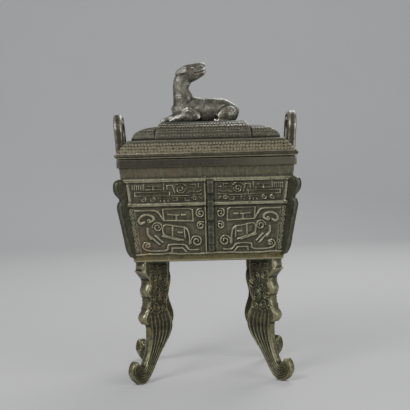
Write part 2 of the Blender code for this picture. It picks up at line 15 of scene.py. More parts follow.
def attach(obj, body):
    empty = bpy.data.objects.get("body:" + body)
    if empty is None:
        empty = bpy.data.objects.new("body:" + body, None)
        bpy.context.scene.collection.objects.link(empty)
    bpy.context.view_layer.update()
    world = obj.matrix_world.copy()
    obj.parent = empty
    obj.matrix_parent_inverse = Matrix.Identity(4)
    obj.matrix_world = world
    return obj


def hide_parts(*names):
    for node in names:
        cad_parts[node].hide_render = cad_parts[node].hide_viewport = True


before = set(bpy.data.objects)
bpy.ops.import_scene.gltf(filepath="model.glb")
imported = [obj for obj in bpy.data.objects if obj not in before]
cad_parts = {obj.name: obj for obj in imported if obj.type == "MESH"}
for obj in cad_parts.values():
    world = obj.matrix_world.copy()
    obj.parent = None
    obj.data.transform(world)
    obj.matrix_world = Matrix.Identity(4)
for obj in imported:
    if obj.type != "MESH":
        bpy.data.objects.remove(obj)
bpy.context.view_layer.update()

LOG = logging.getLogger("square_ding")
MM = 0.001

Path = np.ndarray
Faces = list[tuple[int, ...]]
Section = tuple[float, float, float, float, float]


# Drawing on flat grids


def smooth_path(points: Sequence[Sequence[float]], steps: int, closed: bool = False) -> Path:
    """Runs a Catmull-Rom curve through points of any dimension.

    Args:
        points: The points that the curve passes.
        steps: Pieces between one point and the next.
        closed: Whether the curve comes back to its start.

    Returns:
        The curve as rows of coordinates; a closed one repeats its first row.
    """
    knots = np.asarray(points, float)
    count = len(knots)
    rows = []
    for index in range(count if closed else count - 1):
        picked = [
            (index + k) % count if closed else min(max(index + k, 0), count - 1)
            for k in (-1, 0, 1, 2)]
        p0, p1, p2, p3 = knots[picked]
        for step in range(steps):
            t = step / steps
            rows.append(0.5 * (
                2 * p1 + (p2 - p0) * t + (2 * p0 - 5 * p1 + 4 * p2 - p3) * t * t
                + (3 * p1 - p0 - 3 * p2 + p3) * t ** 3))
    rows.append(rows[0] if closed else knots[-1])
    return np.array(rows)


def spiral(centre: tuple[float, float], outer: float, turns: float, start: float) -> Path:
    """Draws a scroll that winds inwards.

    Args:
        centre: Middle of the scroll.
        outer: Radius where it starts.
        turns: Number of turns, negative to wind clockwise.
        start: Direction of its outer end, in degrees.

    Returns:
        The scroll as rows of two coordinates.
    """
    core = 0.26
    steps_a_turn = 16
    share = np.linspace(0.0, 1.0, max(6, round(abs(turns) * steps_a_turn)) + 1)
    radius = outer * (1 + (core - 1) * share)
    angle = math.radians(start) + share * turns * math.tau
    return np.column_stack((
        centre[0] + radius * np.cos(angle), centre[1] + radius * np.sin(angle)))


def eased(value: np.ndarray) -> np.ndarray:
    """Smooth step from nought to one."""
    held = np.clip(value, 0.0, 1.0)
    return held * held * (3 - 2 * held)


def band(value: np.ndarray, low: float, high: float, soft: float) -> np.ndarray:
    """One between low and high, with soft edges as wide as soft on each side."""
    return eased((value - low + soft) / (2 * soft)) * eased((high - value + soft) / (2 * soft))


def path_distance(places: np.ndarray, path: Path, reach: float) -> np.ndarray:
    """Measures how far places lie from a path.

    Args:
        places: Rows of two coordinates.
        path: The path as rows of two coordinates.
        reach: Places further away than this may be left at infinity.

    Returns:
        One distance for each place.
    """
    found = np.full(len(places), np.inf)
    inside = ((places > path.min(0) - reach) & (places < path.max(0) + reach)).all(1)
    near = np.nonzero(inside)[0]
    if len(near) == 0:
        return found
    spots = places[near]
    best = np.full(len(near), np.inf)
    for start, end in zip(path[:-1], path[1:]):
        span = end - start
        size = max(float(span @ span), 1e-12)
        share = np.clip(((spots - start) @ span) / size, 0.0, 1.0)
        away = spots - start - share[:, None] * span
        best = np.minimum(best, np.hypot(away[:, 0], away[:, 1]))
    found[near] = best
    return found


def inside_outline(places: np.ndarray, outline: Path) -> np.ndarray:
    """Tells which places lie inside a closed outline."""
    inside = np.zeros(len(places), bool)
    x, y = places[:, 0], places[:, 1]
    for (x1, y1), (x2, y2) in zip(outline, np.roll(outline, -1, axis=0)):
        crosses = (y1 > y) != (y2 > y)
        slope = (x2 - x1) / ((y2 - y1) or 1e-12)
        inside ^= crosses & (x < x1 + (y - y1) * slope)
    return inside


@dataclass
class Carving:
    """Relief drawn on a surface, as a height over each of its places, in millimetres."""

    places: np.ndarray
    height: np.ndarray = field(init=False)

    def __post_init__(self) -> None:
        """Starts with a flat ground."""
        self.height = np.zeros(len(self.places))

    def _flank(self, path: Path, width: float, soft: float) -> np.ndarray:
        """Share of a line's height at each place: one along its middle, nought beside it."""
        reach = width / 2 + soft
        return eased((reach - path_distance(self.places, path, reach)) / (2 * soft))

    def ridge(self, path: Path, width: float, rise: float, soft: float = 0.55) -> None:
        """Raises a rounded line along a path.

        Args:
            path: The line's middle.
            width: Its full width.
            rise: How far it stands out.
            soft: Half the width of its sloping edge.
        """
        self.height = np.maximum(self.height, rise * self._flank(path, width, soft))

    def groove(self, path: Path, width: float, depth: float, soft: float = 0.45) -> None:
        """Cuts a rounded line along a path.

        Args:
            path: The line's middle.
            width: Its full width.
            depth: How deep it is cut.
            soft: Half the width of its sloping edge.
        """
        self.height = self.height - depth * self._flank(path, width, soft)

    def cushion(self, outline: Path, rise: float, soft: float) -> None:
        """Swells the area inside an outline.

        Args:
            outline: The closed outline.
            rise: How far its middle stands out.
            soft: How far in from the edge it takes to get there.
        """
        away = path_distance(self.places, outline, soft)
        inside = inside_outline(self.places, outline)
        self.height = self.height + np.where(inside, rise * eased(away / soft), 0.0)


class Grain:
    """Smooth seeded noise in space."""

    def __init__(self, seed: int, size: int = 24) -> None:
        """Draws the lattice that the noise repeats on."""
        self.size = size
        self.lattice = np.random.default_rng(seed).uniform(-1.0, 1.0, (size, size, size))

    def at(self, places: np.ndarray, period: float) -> np.ndarray:
        """Reads the noise.

        Args:
            places: Rows of three coordinates.
            period: Distance from one lattice point to the next.

        Returns:
            One value from -1 to 1 for each place.
        """
        scaled = places / period
        cell = np.floor(scaled).astype(int)
        share = scaled - cell
        share = share * share * (3 - 2 * share)
        total = np.zeros(len(places))
        for corner in range(8):
            pick = np.array([corner >> axis & 1 for axis in range(3)])
            weight = np.where(pick, share, 1 - share).prod(axis=1)
            index = (cell + pick) % self.size
            total += weight * self.lattice[index[:, 0], index[:, 1], index[:, 2]]
        return total


# Meshes


def slab(top: np.ndarray, bottom: np.ndarray, step: int, keep: np.ndarray) -> tuple[
        np.ndarray, Faces]:
    """Closes a fine upper sheet with a coarser lower one.

    Args:
        top: Points of the fine sheet, as rows and columns of three coordinates.
        bottom: Points of the coarse sheet, one for every few of the fine ones.
        step: How many fine cells lie over a coarse one, along each side.
        keep: Which coarse cells are there.

    Returns:
        The points and faces of one closed shell.
    """
    rows, columns = top.shape[0], top.shape[1]
    coarse_rows, coarse_columns = bottom.shape[0], bottom.shape[1]
    start = rows * columns

    def fine(i: int, j: int) -> int:
        """Index of a fine point."""
        return i * columns + j

    def coarse(i: int, j: int) -> int:
        """Index of a coarse point."""
        return start + i * coarse_columns + j

    def kept(i: int, j: int) -> bool:
        """Whether a coarse cell is there."""
        return 0 <= i < coarse_rows - 1 and 0 <= j < coarse_columns - 1 and bool(keep[i, j])

    faces: Faces = []
    for i in range(coarse_rows - 1):
        for j in range(coarse_columns - 1):
            if not keep[i, j]:
                continue
            low_i, low_j, high_i, high_j = i * step, j * step, (i + 1) * step, (j + 1) * step
            for a in range(low_i, high_i):
                for b in range(low_j, high_j):
                    faces.append((fine(a, b), fine(a + 1, b), fine(a + 1, b + 1), fine(a, b + 1)))
            faces.append((coarse(i, j), coarse(i, j + 1), coarse(i + 1, j + 1), coarse(i + 1, j)))
            if not kept(i - 1, j):
                edge = [fine(low_i, b) for b in range(low_j, high_j + 1)]
                faces.append((*edge, coarse(i, j + 1), coarse(i, j)))
            if not kept(i + 1, j):
                edge = [fine(high_i, b) for b in range(high_j, low_j - 1, -1)]
                faces.append((*edge, coarse(i + 1, j), coarse(i + 1, j + 1)))
            if not kept(i, j - 1):
                edge = [fine(a, low_j) for a in range(high_i, low_i - 1, -1)]
                faces.append((*edge, coarse(i, j), coarse(i + 1, j)))
            if not kept(i, j + 1):
                edge = [fine(a, high_j) for a in range(low_i, high_i + 1)]
                faces.append((*edge, coarse(i + 1, j + 1), coarse(i, j + 1)))
    points = np.concatenate((top.reshape(-1, 3), bottom.reshape(-1, 3)))
    used = np.zeros(len(points), bool)
    for face in faces:
        used[list(face)] = True
    new_index = np.cumsum(used) - 1
    return points[used], [tuple(int(new_index[k]) for k in face) for face in faces]


def mesh_of(name: str, points: np.ndarray, faces: Faces) -> bpy.types.Mesh:
    """Makes a mesh whose faces point outwards.

    Args:
        name: The mesh's name.
        points: Rows of three coordinates in millimetres.
        faces: Point numbers of each face.

    Returns:
        The mesh, in metres.
    """
    mesh = bpy.data.meshes.new(name)
    mesh.from_pydata((points * MM).tolist(), [], faces)
    return outward(mesh)


def outward(mesh: bpy.types.Mesh) -> bpy.types.Mesh:
    """Merges doubles and turns all faces outwards, in place, and returns the mesh."""
    shape = bmesh.new()
    shape.from_mesh(mesh)
    bmesh.ops.remove_doubles(shape, verts=shape.verts, dist=1e-6)
    bmesh.ops.recalc_face_normals(shape, faces=shape.faces)
    shape.to_mesh(mesh)
    shape.free()
    return mesh


def coordinates(mesh: bpy.types.Mesh) -> np.ndarray:
    """Points of a mesh as rows, in millimetres."""
    flat = np.empty(len(mesh.vertices) * 3)
    mesh.vertices.foreach_get("co", flat)
    return flat.reshape(-1, 3) / MM


def normals(mesh: bpy.types.Mesh) -> np.ndarray:
    """Normals of a mesh's points as rows."""
    flat = np.empty(len(mesh.vertices) * 3)
    mesh.vertex_normals.foreach_get("vector", flat)
    return flat.reshape(-1, 3)


def move_points(mesh: bpy.types.Mesh, points: np.ndarray) -> None:
    """Sets a mesh's points from rows in millimetres."""
    mesh.vertices.foreach_set("co", (points * MM).ravel())
    mesh.update()


def averaged(points: np.ndarray, edges: np.ndarray, rounds: int, share: float) -> np.ndarray:
    """Evens out values over a mesh's edges.

    Args:
        points: A row of values for each point.
        edges: Pairs of point numbers.
        rounds: How often each point moves towards its neighbours.
        share: How far it moves each time.

    Returns:
        The evened values.
    """
    count = len(points)
    one, two = edges[:, 0], edges[:, 1]
    degree = np.maximum(np.bincount(edges.ravel(), minlength=count), 1)
    moved = points.copy()
    for _ in range(rounds):
        total = np.stack([
            np.bincount(one, moved[two, axis], count) + np.bincount(two, moved[one, axis], count)
            for axis in range(moved.shape[1])], axis=1)
        moved += share * (total / degree[:, None] - moved)
    return moved


def edge_pairs(mesh: bpy.types.Mesh) -> np.ndarray:
    """Point numbers of a mesh's edges, in pairs."""
    flat = np.empty(len(mesh.edges) * 2, np.int64)
    mesh.edges.foreach_get("vertices", flat)
    return flat.reshape(-1, 2)


def side_share(facing: np.ndarray, start: float, axis: int = 2) -> np.ndarray:
    """How squarely each normal faces along an axis, either way: nought at start, then up to one."""
    return eased((np.abs(facing[:, axis]) - start) / 0.4)


def new_item(name: str, data: bpy.types.ID) -> bpy.types.Object:
    """Makes an object of its data and links it to the scene."""
    item = bpy.data.objects.new(name, data)
    bpy.context.scene.collection.objects.link(item)
    return item


def evaluated_mesh(item: bpy.types.Object) -> bpy.types.Mesh:
    """Turns an object with its modifiers into a plain mesh, and deletes the object."""
    depsgraph = bpy.context.evaluated_depsgraph_get()
    mesh = bpy.data.meshes.new_from_object(item.evaluated_get(depsgraph))
    bpy.data.objects.remove(item, do_unlink=True)
    return mesh


def skinned(mesh: bpy.types.Mesh, voxel: float, rounds: int) -> bpy.types.Mesh:
    """Covers a mesh of closed, overlapping forms with one even skin.

    Args:
        mesh: The forms.
        voxel: Size of the skin's cells in millimetres.
        rounds: How often the skin is evened out.

    Returns:
        The skin as a mesh.
    """
    item = new_item("forms", mesh)
    modifier = item.modifiers.new("skin", "REMESH")
    modifier.mode = "VOXEL"
    modifier.voxel_size = voxel * MM
    skin = evaluated_mesh(item)
    edges = edge_pairs(skin)
    points = coordinates(skin)
    for _ in range(rounds):
        # Each shrinking round is followed by one that swells, so the form keeps its size.
        points = averaged(points, edges, 1, 0.5)
        points = averaged(points, edges, 1, -0.52)
    move_points(skin, averaged(points, edges, 1, 0.4))
    return outward(skin)


def plate(outline: Path, thickness: float, bevel: float) -> bpy.types.Mesh:
    """Gives a flat outline its thickness, with rounded edges.

    Args:
        outline: The outline in millimetres.
        thickness: Full thickness along the plate's own Z.
        bevel: Radius of its edges.

    Returns:
        The plate as a closed mesh.
    """
    curve = bpy.data.curves.new("outline", "CURVE")
    curve.dimensions = "2D"
    curve.fill_mode = "BOTH"
    curve.extrude = (thickness / 2 - bevel) * MM
    curve.bevel_depth = bevel * MM
    curve.bevel_resolution = 2
    curve.offset = -bevel * MM
    spline = curve.splines.new("POLY")
    spline.points.add(len(outline) - 1)
    for point, place in zip(spline.points, outline):
        point.co = (place[0] * MM, place[1] * MM, 0.0, 1.0)
    spline.use_cyclic_u = True
    return outward(evaluated_mesh(new_item("outline", curve)))


def merged(meshes: Sequence[bpy.types.Mesh]) -> bpy.types.Mesh:
    """Puts several meshes into one."""
    shape = bmesh.new()
    for mesh in meshes:
        shape.from_mesh(mesh)
    whole = bpy.data.meshes.new("forms")
    shape.to_mesh(whole)
    shape.free()
    return whole


def mirrored(mesh: bpy.types.Mesh, place: Callable[[np.ndarray], np.ndarray]) -> bpy.types.Mesh:
    """Copies a mesh with its points moved by a rule, and its faces turned outwards."""
    copy = mesh.copy()
    move_points(copy, place(coordinates(mesh)))
    return outward(copy)


# Shader maths


class Tone:
    """A number in a material's nodes, which Python's operators work on."""

    def __init__(self, board: "Board", socket: bpy.types.NodeSocket) -> None:
        """Wraps an output socket."""
        self.board = board
        self.socket = socket

    def _math(self, operation: str, other: object) -> "Tone":
        """Adds a Math node for this tone and a tone or number."""
        node = self.board.node("ShaderNodeMath", {"operation": operation}, {0: self, 1: other})
        return Tone(self.board, node.outputs[0])

    def __add__(self, other: object) -> "Tone":
        """Sum with a tone or number."""
        return self._math("ADD", other)

    def __mul__(self, other: object) -> "Tone":
        """Product with a tone or number."""
        return self._math("MULTIPLY", other)

    def __sub__(self, other: object) -> "Tone":
        """This tone less a tone or number."""
        return self._math("SUBTRACT", other)

    def span(self, low: float, high: float, bottom: float = 0.0, top: float = 1.0) -> "Tone":
        """Maps this tone smoothly from one range to another, and holds it there."""
        node = self.board.node(
            "ShaderNodeMapRange", {"interpolation_type": "SMOOTHSTEP"},
            {"Value": self, "From Min": low, "From Max": high, "To Min": bottom, "To Max": top})
        return Tone(self.board, node.outputs["Result"])


def feed(tree: bpy.types.NodeTree, socket: bpy.types.NodeSocket, value: object) -> None:
    """Links a tone or socket to a socket of a tree, or sets the socket's number."""
    source = value.socket if isinstance(value, Tone) else value
    if isinstance(source, bpy.types.NodeSocket):
        tree.links.new(source, socket)
    else:
        socket.default_value = source


def add_node(tree: bpy.types.NodeTree, kind: str, settings: dict, inputs: dict) -> bpy.types.Node:
    """Adds a node to a tree.

    Args:
        tree: The tree.
        kind: The node's type.
        settings: Its own properties, which are set first.
        inputs: A value, tone or link for each named or numbered socket.

    Returns:
        The node.
    """
    made = tree.nodes.new(kind)
    for name, value in settings.items():
        setattr(made, name, value)
    for key, value in inputs.items():
        feed(tree, made.inputs[key], value)
    return made


class Board:
    """The node tree of one material."""

    def __init__(self, material: bpy.types.Material) -> None:
        """Starts with the material's own shader."""
        material.use_nodes = True
        self.tree = material.node_tree
        self.shader = self.tree.nodes["Principled BSDF"]
        coordinate = self.node("ShaderNodeTexCoord", {}, {})
        self.place = coordinate.outputs["Object"]

    def node(self, kind: str, settings: dict, inputs: dict) -> bpy.types.Node:
        """Adds a node to the material, as add_node does."""
        return add_node(self.tree, kind, settings, inputs)

    def shade(self, name: str, value: object) -> None:
        """Feeds a tone, socket or number to an input of the material's own shader."""
        feed(self.tree, self.shader.inputs[name], value)

    def noise(self, period: float, detail: float, stretch: tuple[float, float, float] = (
            1.0, 1.0, 1.0), shift: float = 0.0) -> Tone:
        """Noise over the object's own place.

        Args:
            period: Rough size of its spots in millimetres.
            detail: Octaves of finer noise.
            stretch: How many times shorter the spots are along each axis.
            shift: Moves the pattern, so that two noises differ.

        Returns:
            A tone from about 0.3 to 0.7.
        """
        placed = self.node(
            "ShaderNodeMapping", {},
            {"Vector": self.place, "Location": (shift, shift, shift), "Scale": stretch})
        made = self.node(
            "ShaderNodeTexNoise", {},
            {"Vector": placed.outputs[0], "Scale": 1000.0 / period, "Detail": detail,
             "Roughness": 0.6})
        return Tone(self, made.outputs[0])

    def attribute(self, name: str) -> Tone:
        """A value that the mesh carries at each point."""
        made = self.node("ShaderNodeAttribute", {"attribute_name": name}, {})
        return Tone(self, made.outputs["Fac"])

    def axis(self, index: int) -> Tone:
        """One coordinate in millimetres."""
        made = self.node("ShaderNodeSeparateXYZ", {}, {0: self.place})
        return Tone(self, made.outputs[index]) * 1000.0

    def mix(self, factor: object, first: object, second: object) -> bpy.types.NodeSocket:
        """Mixes two colours.

        Args:
            factor: Share of the second, a tone or number.
            first: Colour or colour socket.
            second: Colour or colour socket.

        Returns:
            The colour socket of the mix.
        """
        made = self.node("ShaderNodeMix", {"data_type": "RGBA"}, {0: factor, 6: first, 7: second})
        return made.outputs[2]


Colour = tuple[float, float, float]
Limits = tuple[float | None, float | None, float | None]


def rgba(colour: Colour) -> tuple[float, float, float, float]:
    """A colour with full cover."""
    return (*colour, 1.0)


@dataclass(frozen=True)
class Patch:
    """A patch of colour inside a box, broken up by noise, in millimetres. Most patches are stains;
    the near-black ones paint the shadow in the gap between the lid and the rim.
    """

    colour: Colour
    low: Limits = (None, None, None)
    high: Limits = (None, None, None)
    fade: float = 4.0
    period: float = 9.0
    cover: float = 0.5
    strength: float = 0.8
    shift: float = 0.0
    in_grooves: float = 0.0

    def mask(self, board: Board, relief: Tone) -> Tone:
        """Builds the patch's mask.

        Args:
            board: The material's nodes.
            relief: How far the surface stands out of its surroundings.

        Returns:
            A tone that is the patch's share of the surface.
        """
        spots = board.noise(self.period, 4.0, shift=self.shift)
        edge = 0.62 - self.cover * 0.24
        mask = spots.span(edge - 0.05, edge + 0.07) * self.strength
        for index in range(3):
            for limit, ends in ((self.low[index], (0.0, 1.0)), (self.high[index], (1.0, 0.0))):
                if limit is not None:
                    place = board.axis(index)
                    mask = mask * place.span(limit - self.fade, limit + self.fade, *ends)
        if self.in_grooves > 0:
            mask = mask * (relief.span(-0.1, 0.5, 1.0, 1.0 - self.in_grooves))
        return mask


@dataclass(frozen=True)
class Patina:
    """A bronze surface: its ground, its hollows darkened by grime and painted shade, its rubbed
    edges, its stains and painted gap shadows.
    """

    name: str
    ground: Colour
    second: Colour
    worn: Colour
    # Stains, and the painted shadow of the gap below the lid.
    stains_and_shadows: tuple[Patch, ...] = ()
    roughness: float = 0.5
    worn_roughness: float = 0.3
    metallic: float = 0.55
    worn_metallic: float = 0.85
    wear: float = 1.0
    # Strength of the grime and painted shade that darken the hollows.
    grime_and_shade: float = 1.0
    bump: float = 0.35
    streaks: float = 0.0

    def build(self) -> bpy.types.Material:
        """Makes the material."""
        material = bpy.data.materials.new(self.name)
        board = Board(material)
        relief = board.attribute("relief")
        edge = board.attribute("edge")
        clouds = board.noise(26.0, 5.0)
        mottle = board.noise(4.2, 6.0, shift=3.1)
        speckle = board.noise(0.9, 3.0, shift=7.7)
        colour = board.mix(
            clouds.span(0.36, 0.62) * 0.5 + mottle.span(0.40, 0.60) * 0.5,
            rgba(self.ground), rgba(self.second))
        colour = board.mix(
            speckle.span(0.42, 0.66) * 0.5, colour, rgba(tuple(c * 0.5 for c in self.ground)))
        rough = board.noise(7.0, 4.0, shift=1.3).span(
            0.3, 0.7, self.roughness - 0.08, self.roughness + 0.12)
        if self.streaks > 0:
            fine = board.noise(1.6, 2.0, stretch=(1.0, 1.0, 0.07), shift=2.2)
            colour = board.mix(fine.span(0.42, 0.62) * self.streaks, colour, rgba(HOLLOW))
        # Each patch is a stain, except the near-black ones that paint the shadow in the gap below
        # the lid.
        for patch in self.stains_and_shadows:
            mask = patch.mask(board, relief)
            colour = board.mix(mask, colour, rgba(patch.colour))
            rough = rough + mask * 0.12
        # Hollows darken towards near black: grime, together with painted shade where grooves would
        # lie in shadow.
        grime_and_shade = relief.span(0.05, -0.55) * self.grime_and_shade
        grime_and_shade = grime_and_shade * mottle.span(0.2, 0.55, 0.75, 1.0)
        colour = board.mix(grime_and_shade, colour, rgba(HOLLOW))
        rubbed = relief.span(0.10, 0.85) * 0.68 + edge.span(0.15, 0.85) * 0.45
        rubbed = rubbed * mottle.span(0.3, 0.6, 0.55, 1.0) * self.wear
        rubbed = rubbed.span(0.0, 1.0)
        colour = board.mix(rubbed, colour, rgba(self.worn))
        board.shade("Base Color", colour)
        board.shade(
            "Roughness", rough + grime_and_shade * 0.2 - rubbed * (self.roughness - self.worn_roughness))
        board.shade(
            "Metallic",
            rubbed * (self.worn_metallic - self.metallic) + self.metallic - grime_and_shade * 0.3)
        pits = board.noise(1.7, 4.0, shift=5.0)
        lumps = board.noise(6.5, 3.0, shift=9.0)
        height = pits * 0.6 + lumps * 1.2 + speckle * 0.25
        bumped = board.node("ShaderNodeBump", {}, {
            "Height": height, "Strength": self.bump, "Distance": 0.0006})
        board.shade("Normal", bumped.outputs[0])
        return material


class Holder(Enum):
    """The cast piece that a dressed surface belongs to, and its material slot."""

    VESSEL = ("vessel", "cast_bronze")
    LID = ("lid", "lid_bronze")


def dress(name: str, mesh: bpy.types.Mesh, patina: bpy.types.Material, holder: Holder,
          spacing: float = 0.6, crease: float = 50.0) -> bpy.types.Object:
    """Turns a mesh into a finished piece of the object.

    Args:
        name: The piece's name.
        mesh: Its closed mesh.
        patina: Its material.
        holder: The casting that it is part of.
        spacing: Usual distance between its points in millimetres.
        crease: Angle in degrees past which an edge stays sharp.

    Returns:
        The piece.
    """
    mesh.name = name
    mesh.shade_smooth()
    mesh.set_sharp_from_angle(angle=math.radians(crease))
    points = coordinates(mesh)
    edges = edge_pairs(mesh)
    facing = normals(mesh)
    wide = averaged(points, edges, round((2.6 / spacing) ** 2), 1.0)
    close = averaged(points, edges, 2, 1.0)
    for label, smooth, scale in (("relief", wide, 0.55), ("edge", close, 0.10)):
        value = np.clip(((points - smooth) * facing).sum(axis=1) / scale, -1.0, 1.0)
        value = averaged(value[:, None], edges, 1, 0.5)[:, 0]
        layer = mesh.attributes.new(label, "FLOAT", "POINT")
        layer.data.foreach_set("value", value.astype(np.float32))
    mesh.materials.clear()
    mesh.materials.append(patina)
    piece = new_item(name, mesh)
    node, slot = holder.value
    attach(piece, "root")
    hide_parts(node)
    faces = sum(len(face.vertices) - 2 for face in mesh.polygons)
    LOG.info("%s: %d triangles", name, faces)
    return piece


# Finishes

OLIVE = (0.090, 0.089, 0.052)
GREY_OLIVE = (0.118, 0.118, 0.080)
# Near black: the colour of dark streaks, and of the grime and painted shade in hollows.
HOLLOW = (0.014, 0.014, 0.009)
WORN = (0.300, 0.292, 0.200)
BUFF = (0.20, 0.165, 0.095)
RUST = (0.200, 0.112, 0.055)
PURPLE = (0.054, 0.045, 0.035)
CROWN_BROWN = (0.057, 0.054, 0.040)
# Near black, painted as the shadow in the gap between the lid's edge and the rim.
PAINTED_GAP_SHADOW = (0.006, 0.006, 0.004)
VERDIGRIS = (0.10, 0.19, 0.14)
YELLOW_OLIVE = (0.115, 0.104, 0.038)

WALL_PATINA = Patina(
    "wall_patina", OLIVE, GREY_OLIVE, WORN, stains_and_shadows=(
        Patch(YELLOW_OLIVE, high=(None, None, 132.5), fade=1.2, cover=1.3, strength=0.7),
        Patch(RUST, (None, None, 129.0), (-58.0, None, 150.0), fade=6.0, cover=0.55,
              strength=0.8, period=3.2),
        Patch(PURPLE, (None, None, 178.0), (None, None, 187.0), fade=3.0, cover=0.7,
              strength=0.6, period=16.0, shift=4.0),
        Patch(RUST, period=3.6, cover=-0.25, strength=0.5, shift=6.0, in_grooves=0.6),
        Patch(YELLOW_OLIVE, period=12.0, cover=0.1, strength=0.35, shift=8.0),
        Patch((0.120, 0.094, 0.060), high=(-5.0, None, None), fade=40.0, period=18.0, cover=0.7,
              strength=0.4, shift=12.0)),
    streaks=0.3, grime_and_shade=0.6, wear=0.95, bump=0.6)
RIM_PATINA = Patina(
    "rim_patina", PURPLE, (0.046, 0.044, 0.030), (0.13, 0.115, 0.088), stains_and_shadows=(
        Patch(GREY_OLIVE, (30.0, None, None), fade=45.0, cover=1.2, strength=0.5, period=20.0),
        # Painted shadow: the top of the rim goes near black where it lies in the gap under the
        # lid's edge.
        Patch(PAINTED_GAP_SHADOW, (None, None, 227.3), fade=0.35, cover=2.2, strength=0.95)),
    wear=0.8, bump=0.6, streaks=0.25)
FLANGE_PATINA = Patina(
    "flange_patina", (0.025, 0.025, 0.017), (0.040, 0.040, 0.027), (0.115, 0.115, 0.08),
    roughness=0.6, metallic=0.25, worn_metallic=0.5, wear=0.55, bump=0.6)
CORNER_PATINA = Patina(
    "corner_patina", (0.040, 0.042, 0.025), (0.062, 0.064, 0.040),
    (0.150, 0.150, 0.105), streaks=0.2, wear=0.38, grime_and_shade=0.9, bump=0.6)
HANDLE_PATINA = Patina(
    "handle_patina", (0.050, 0.042, 0.027), (0.070, 0.064, 0.042), (0.27, 0.26, 0.20),
    roughness=0.40, worn_roughness=0.26, wear=0.85)
LEG_PATINA = Patina(
    "leg_patina", (0.046, 0.047, 0.023), (0.068, 0.067, 0.037), (0.235, 0.228, 0.135),
    wear=1.0, grime_and_shade=1.15, stains_and_shadows=(
        Patch((0.090, 0.094, 0.055), (0.0, None, None), fade=10.0, period=12.0, cover=1.2,
              strength=0.5, shift=14.0),
        Patch(RUST, (None, None, 50.0), (-30.0, None, 118.0), fade=9.0, cover=0.2,
              strength=0.55, period=4.5),
        Patch(RUST, (40.0, None, 44.0), (None, None, 66.0), fade=8.0, cover=0.2,
              strength=0.5, period=4.5, shift=3.0),
        Patch(YELLOW_OLIVE, period=13.0, cover=0.25, strength=0.5, shift=5.0)),
    roughness=0.40, bump=0.5)
LID_PATINA = Patina(
    "lid_patina", (0.064, 0.066, 0.044), (0.082, 0.080, 0.054), (0.21, 0.195, 0.135),
    stains_and_shadows=(
        Patch(CROWN_BROWN, (None, None, 246.8), fade=1.0, cover=1.6, strength=0.85, period=14.0),
        Patch(BUFF, (None, None, 232.6), (None, None, 240.0), fade=2.6, cover=0.6,
              strength=0.7, period=3.4),
        Patch(VERDIGRIS, (None, None, 236.0), (0.0, None, 246.0), fade=3.0, period=6.0,
              cover=0.0, strength=0.7, shift=2.0),
        Patch(VERDIGRIS, period=5.0, cover=-0.25, strength=0.5, shift=9.5)),
    roughness=0.55, grime_and_shade=1.0, bump=0.6)
LID_EDGE_PATINA = Patina(
    "lid_edge_patina", (0.026, 0.023, 0.016), (0.041, 0.037, 0.026), (0.10, 0.092, 0.064),
    stains_and_shadows=(Patch(BUFF, (None, None, 231.8), period=3.4, fade=0.6, cover=0.1, strength=0.5),
            # Painted shadow: the bottom of the lid's edge goes near black over the gap to the rim.
            Patch(PAINTED_GAP_SHADOW, high=(None, None, 230.1), fade=0.35, cover=2.2, strength=0.95)),
    wear=0.7, bump=0.6)
SLOPE_SCROLL_PATINA = Patina(
    "slope_scroll_patina", (0.115, 0.100, 0.062), (0.072, 0.070, 0.045),
    (0.32, 0.29, 0.20), stains_and_shadows=(
        Patch(GREY_OLIVE, (-12.0, None, None), (58.0, None, None), fade=25.0, period=8.0,
              cover=0.8, strength=0.6),),
    roughness=0.55, metallic=0.35, worn_metallic=0.5, wear=0.8)
CROWN_SCROLL_PATINA = Patina(
    "crown_scroll_patina", CROWN_BROWN, (0.076, 0.072, 0.053), (0.225, 0.212, 0.160),
    roughness=0.5, metallic=0.4, worn_metallic=0.6, wear=0.85)
DEER_PATINA = Patina(
    "deer_patina", (0.100, 0.097, 0.073), (0.200, 0.197, 0.155), (0.38, 0.37, 0.31),
    stains_and_shadows=(Patch(CROWN_BROWN, period=6.0, cover=0.45, strength=0.65),),
    roughness=0.34, worn_roughness=0.22, metallic=0.6, bump=0.6)


# Vessel


class Face(Enum):
    """A wall of the vessel: its direction along and its outward direction."""

    FRONT = ((1, 0), (0, -1))
    RIGHT = ((0, 1), (1, 0))
    BACK = ((-1, 0), (0, 1))
    LEFT = ((0, -1), (-1, 0))


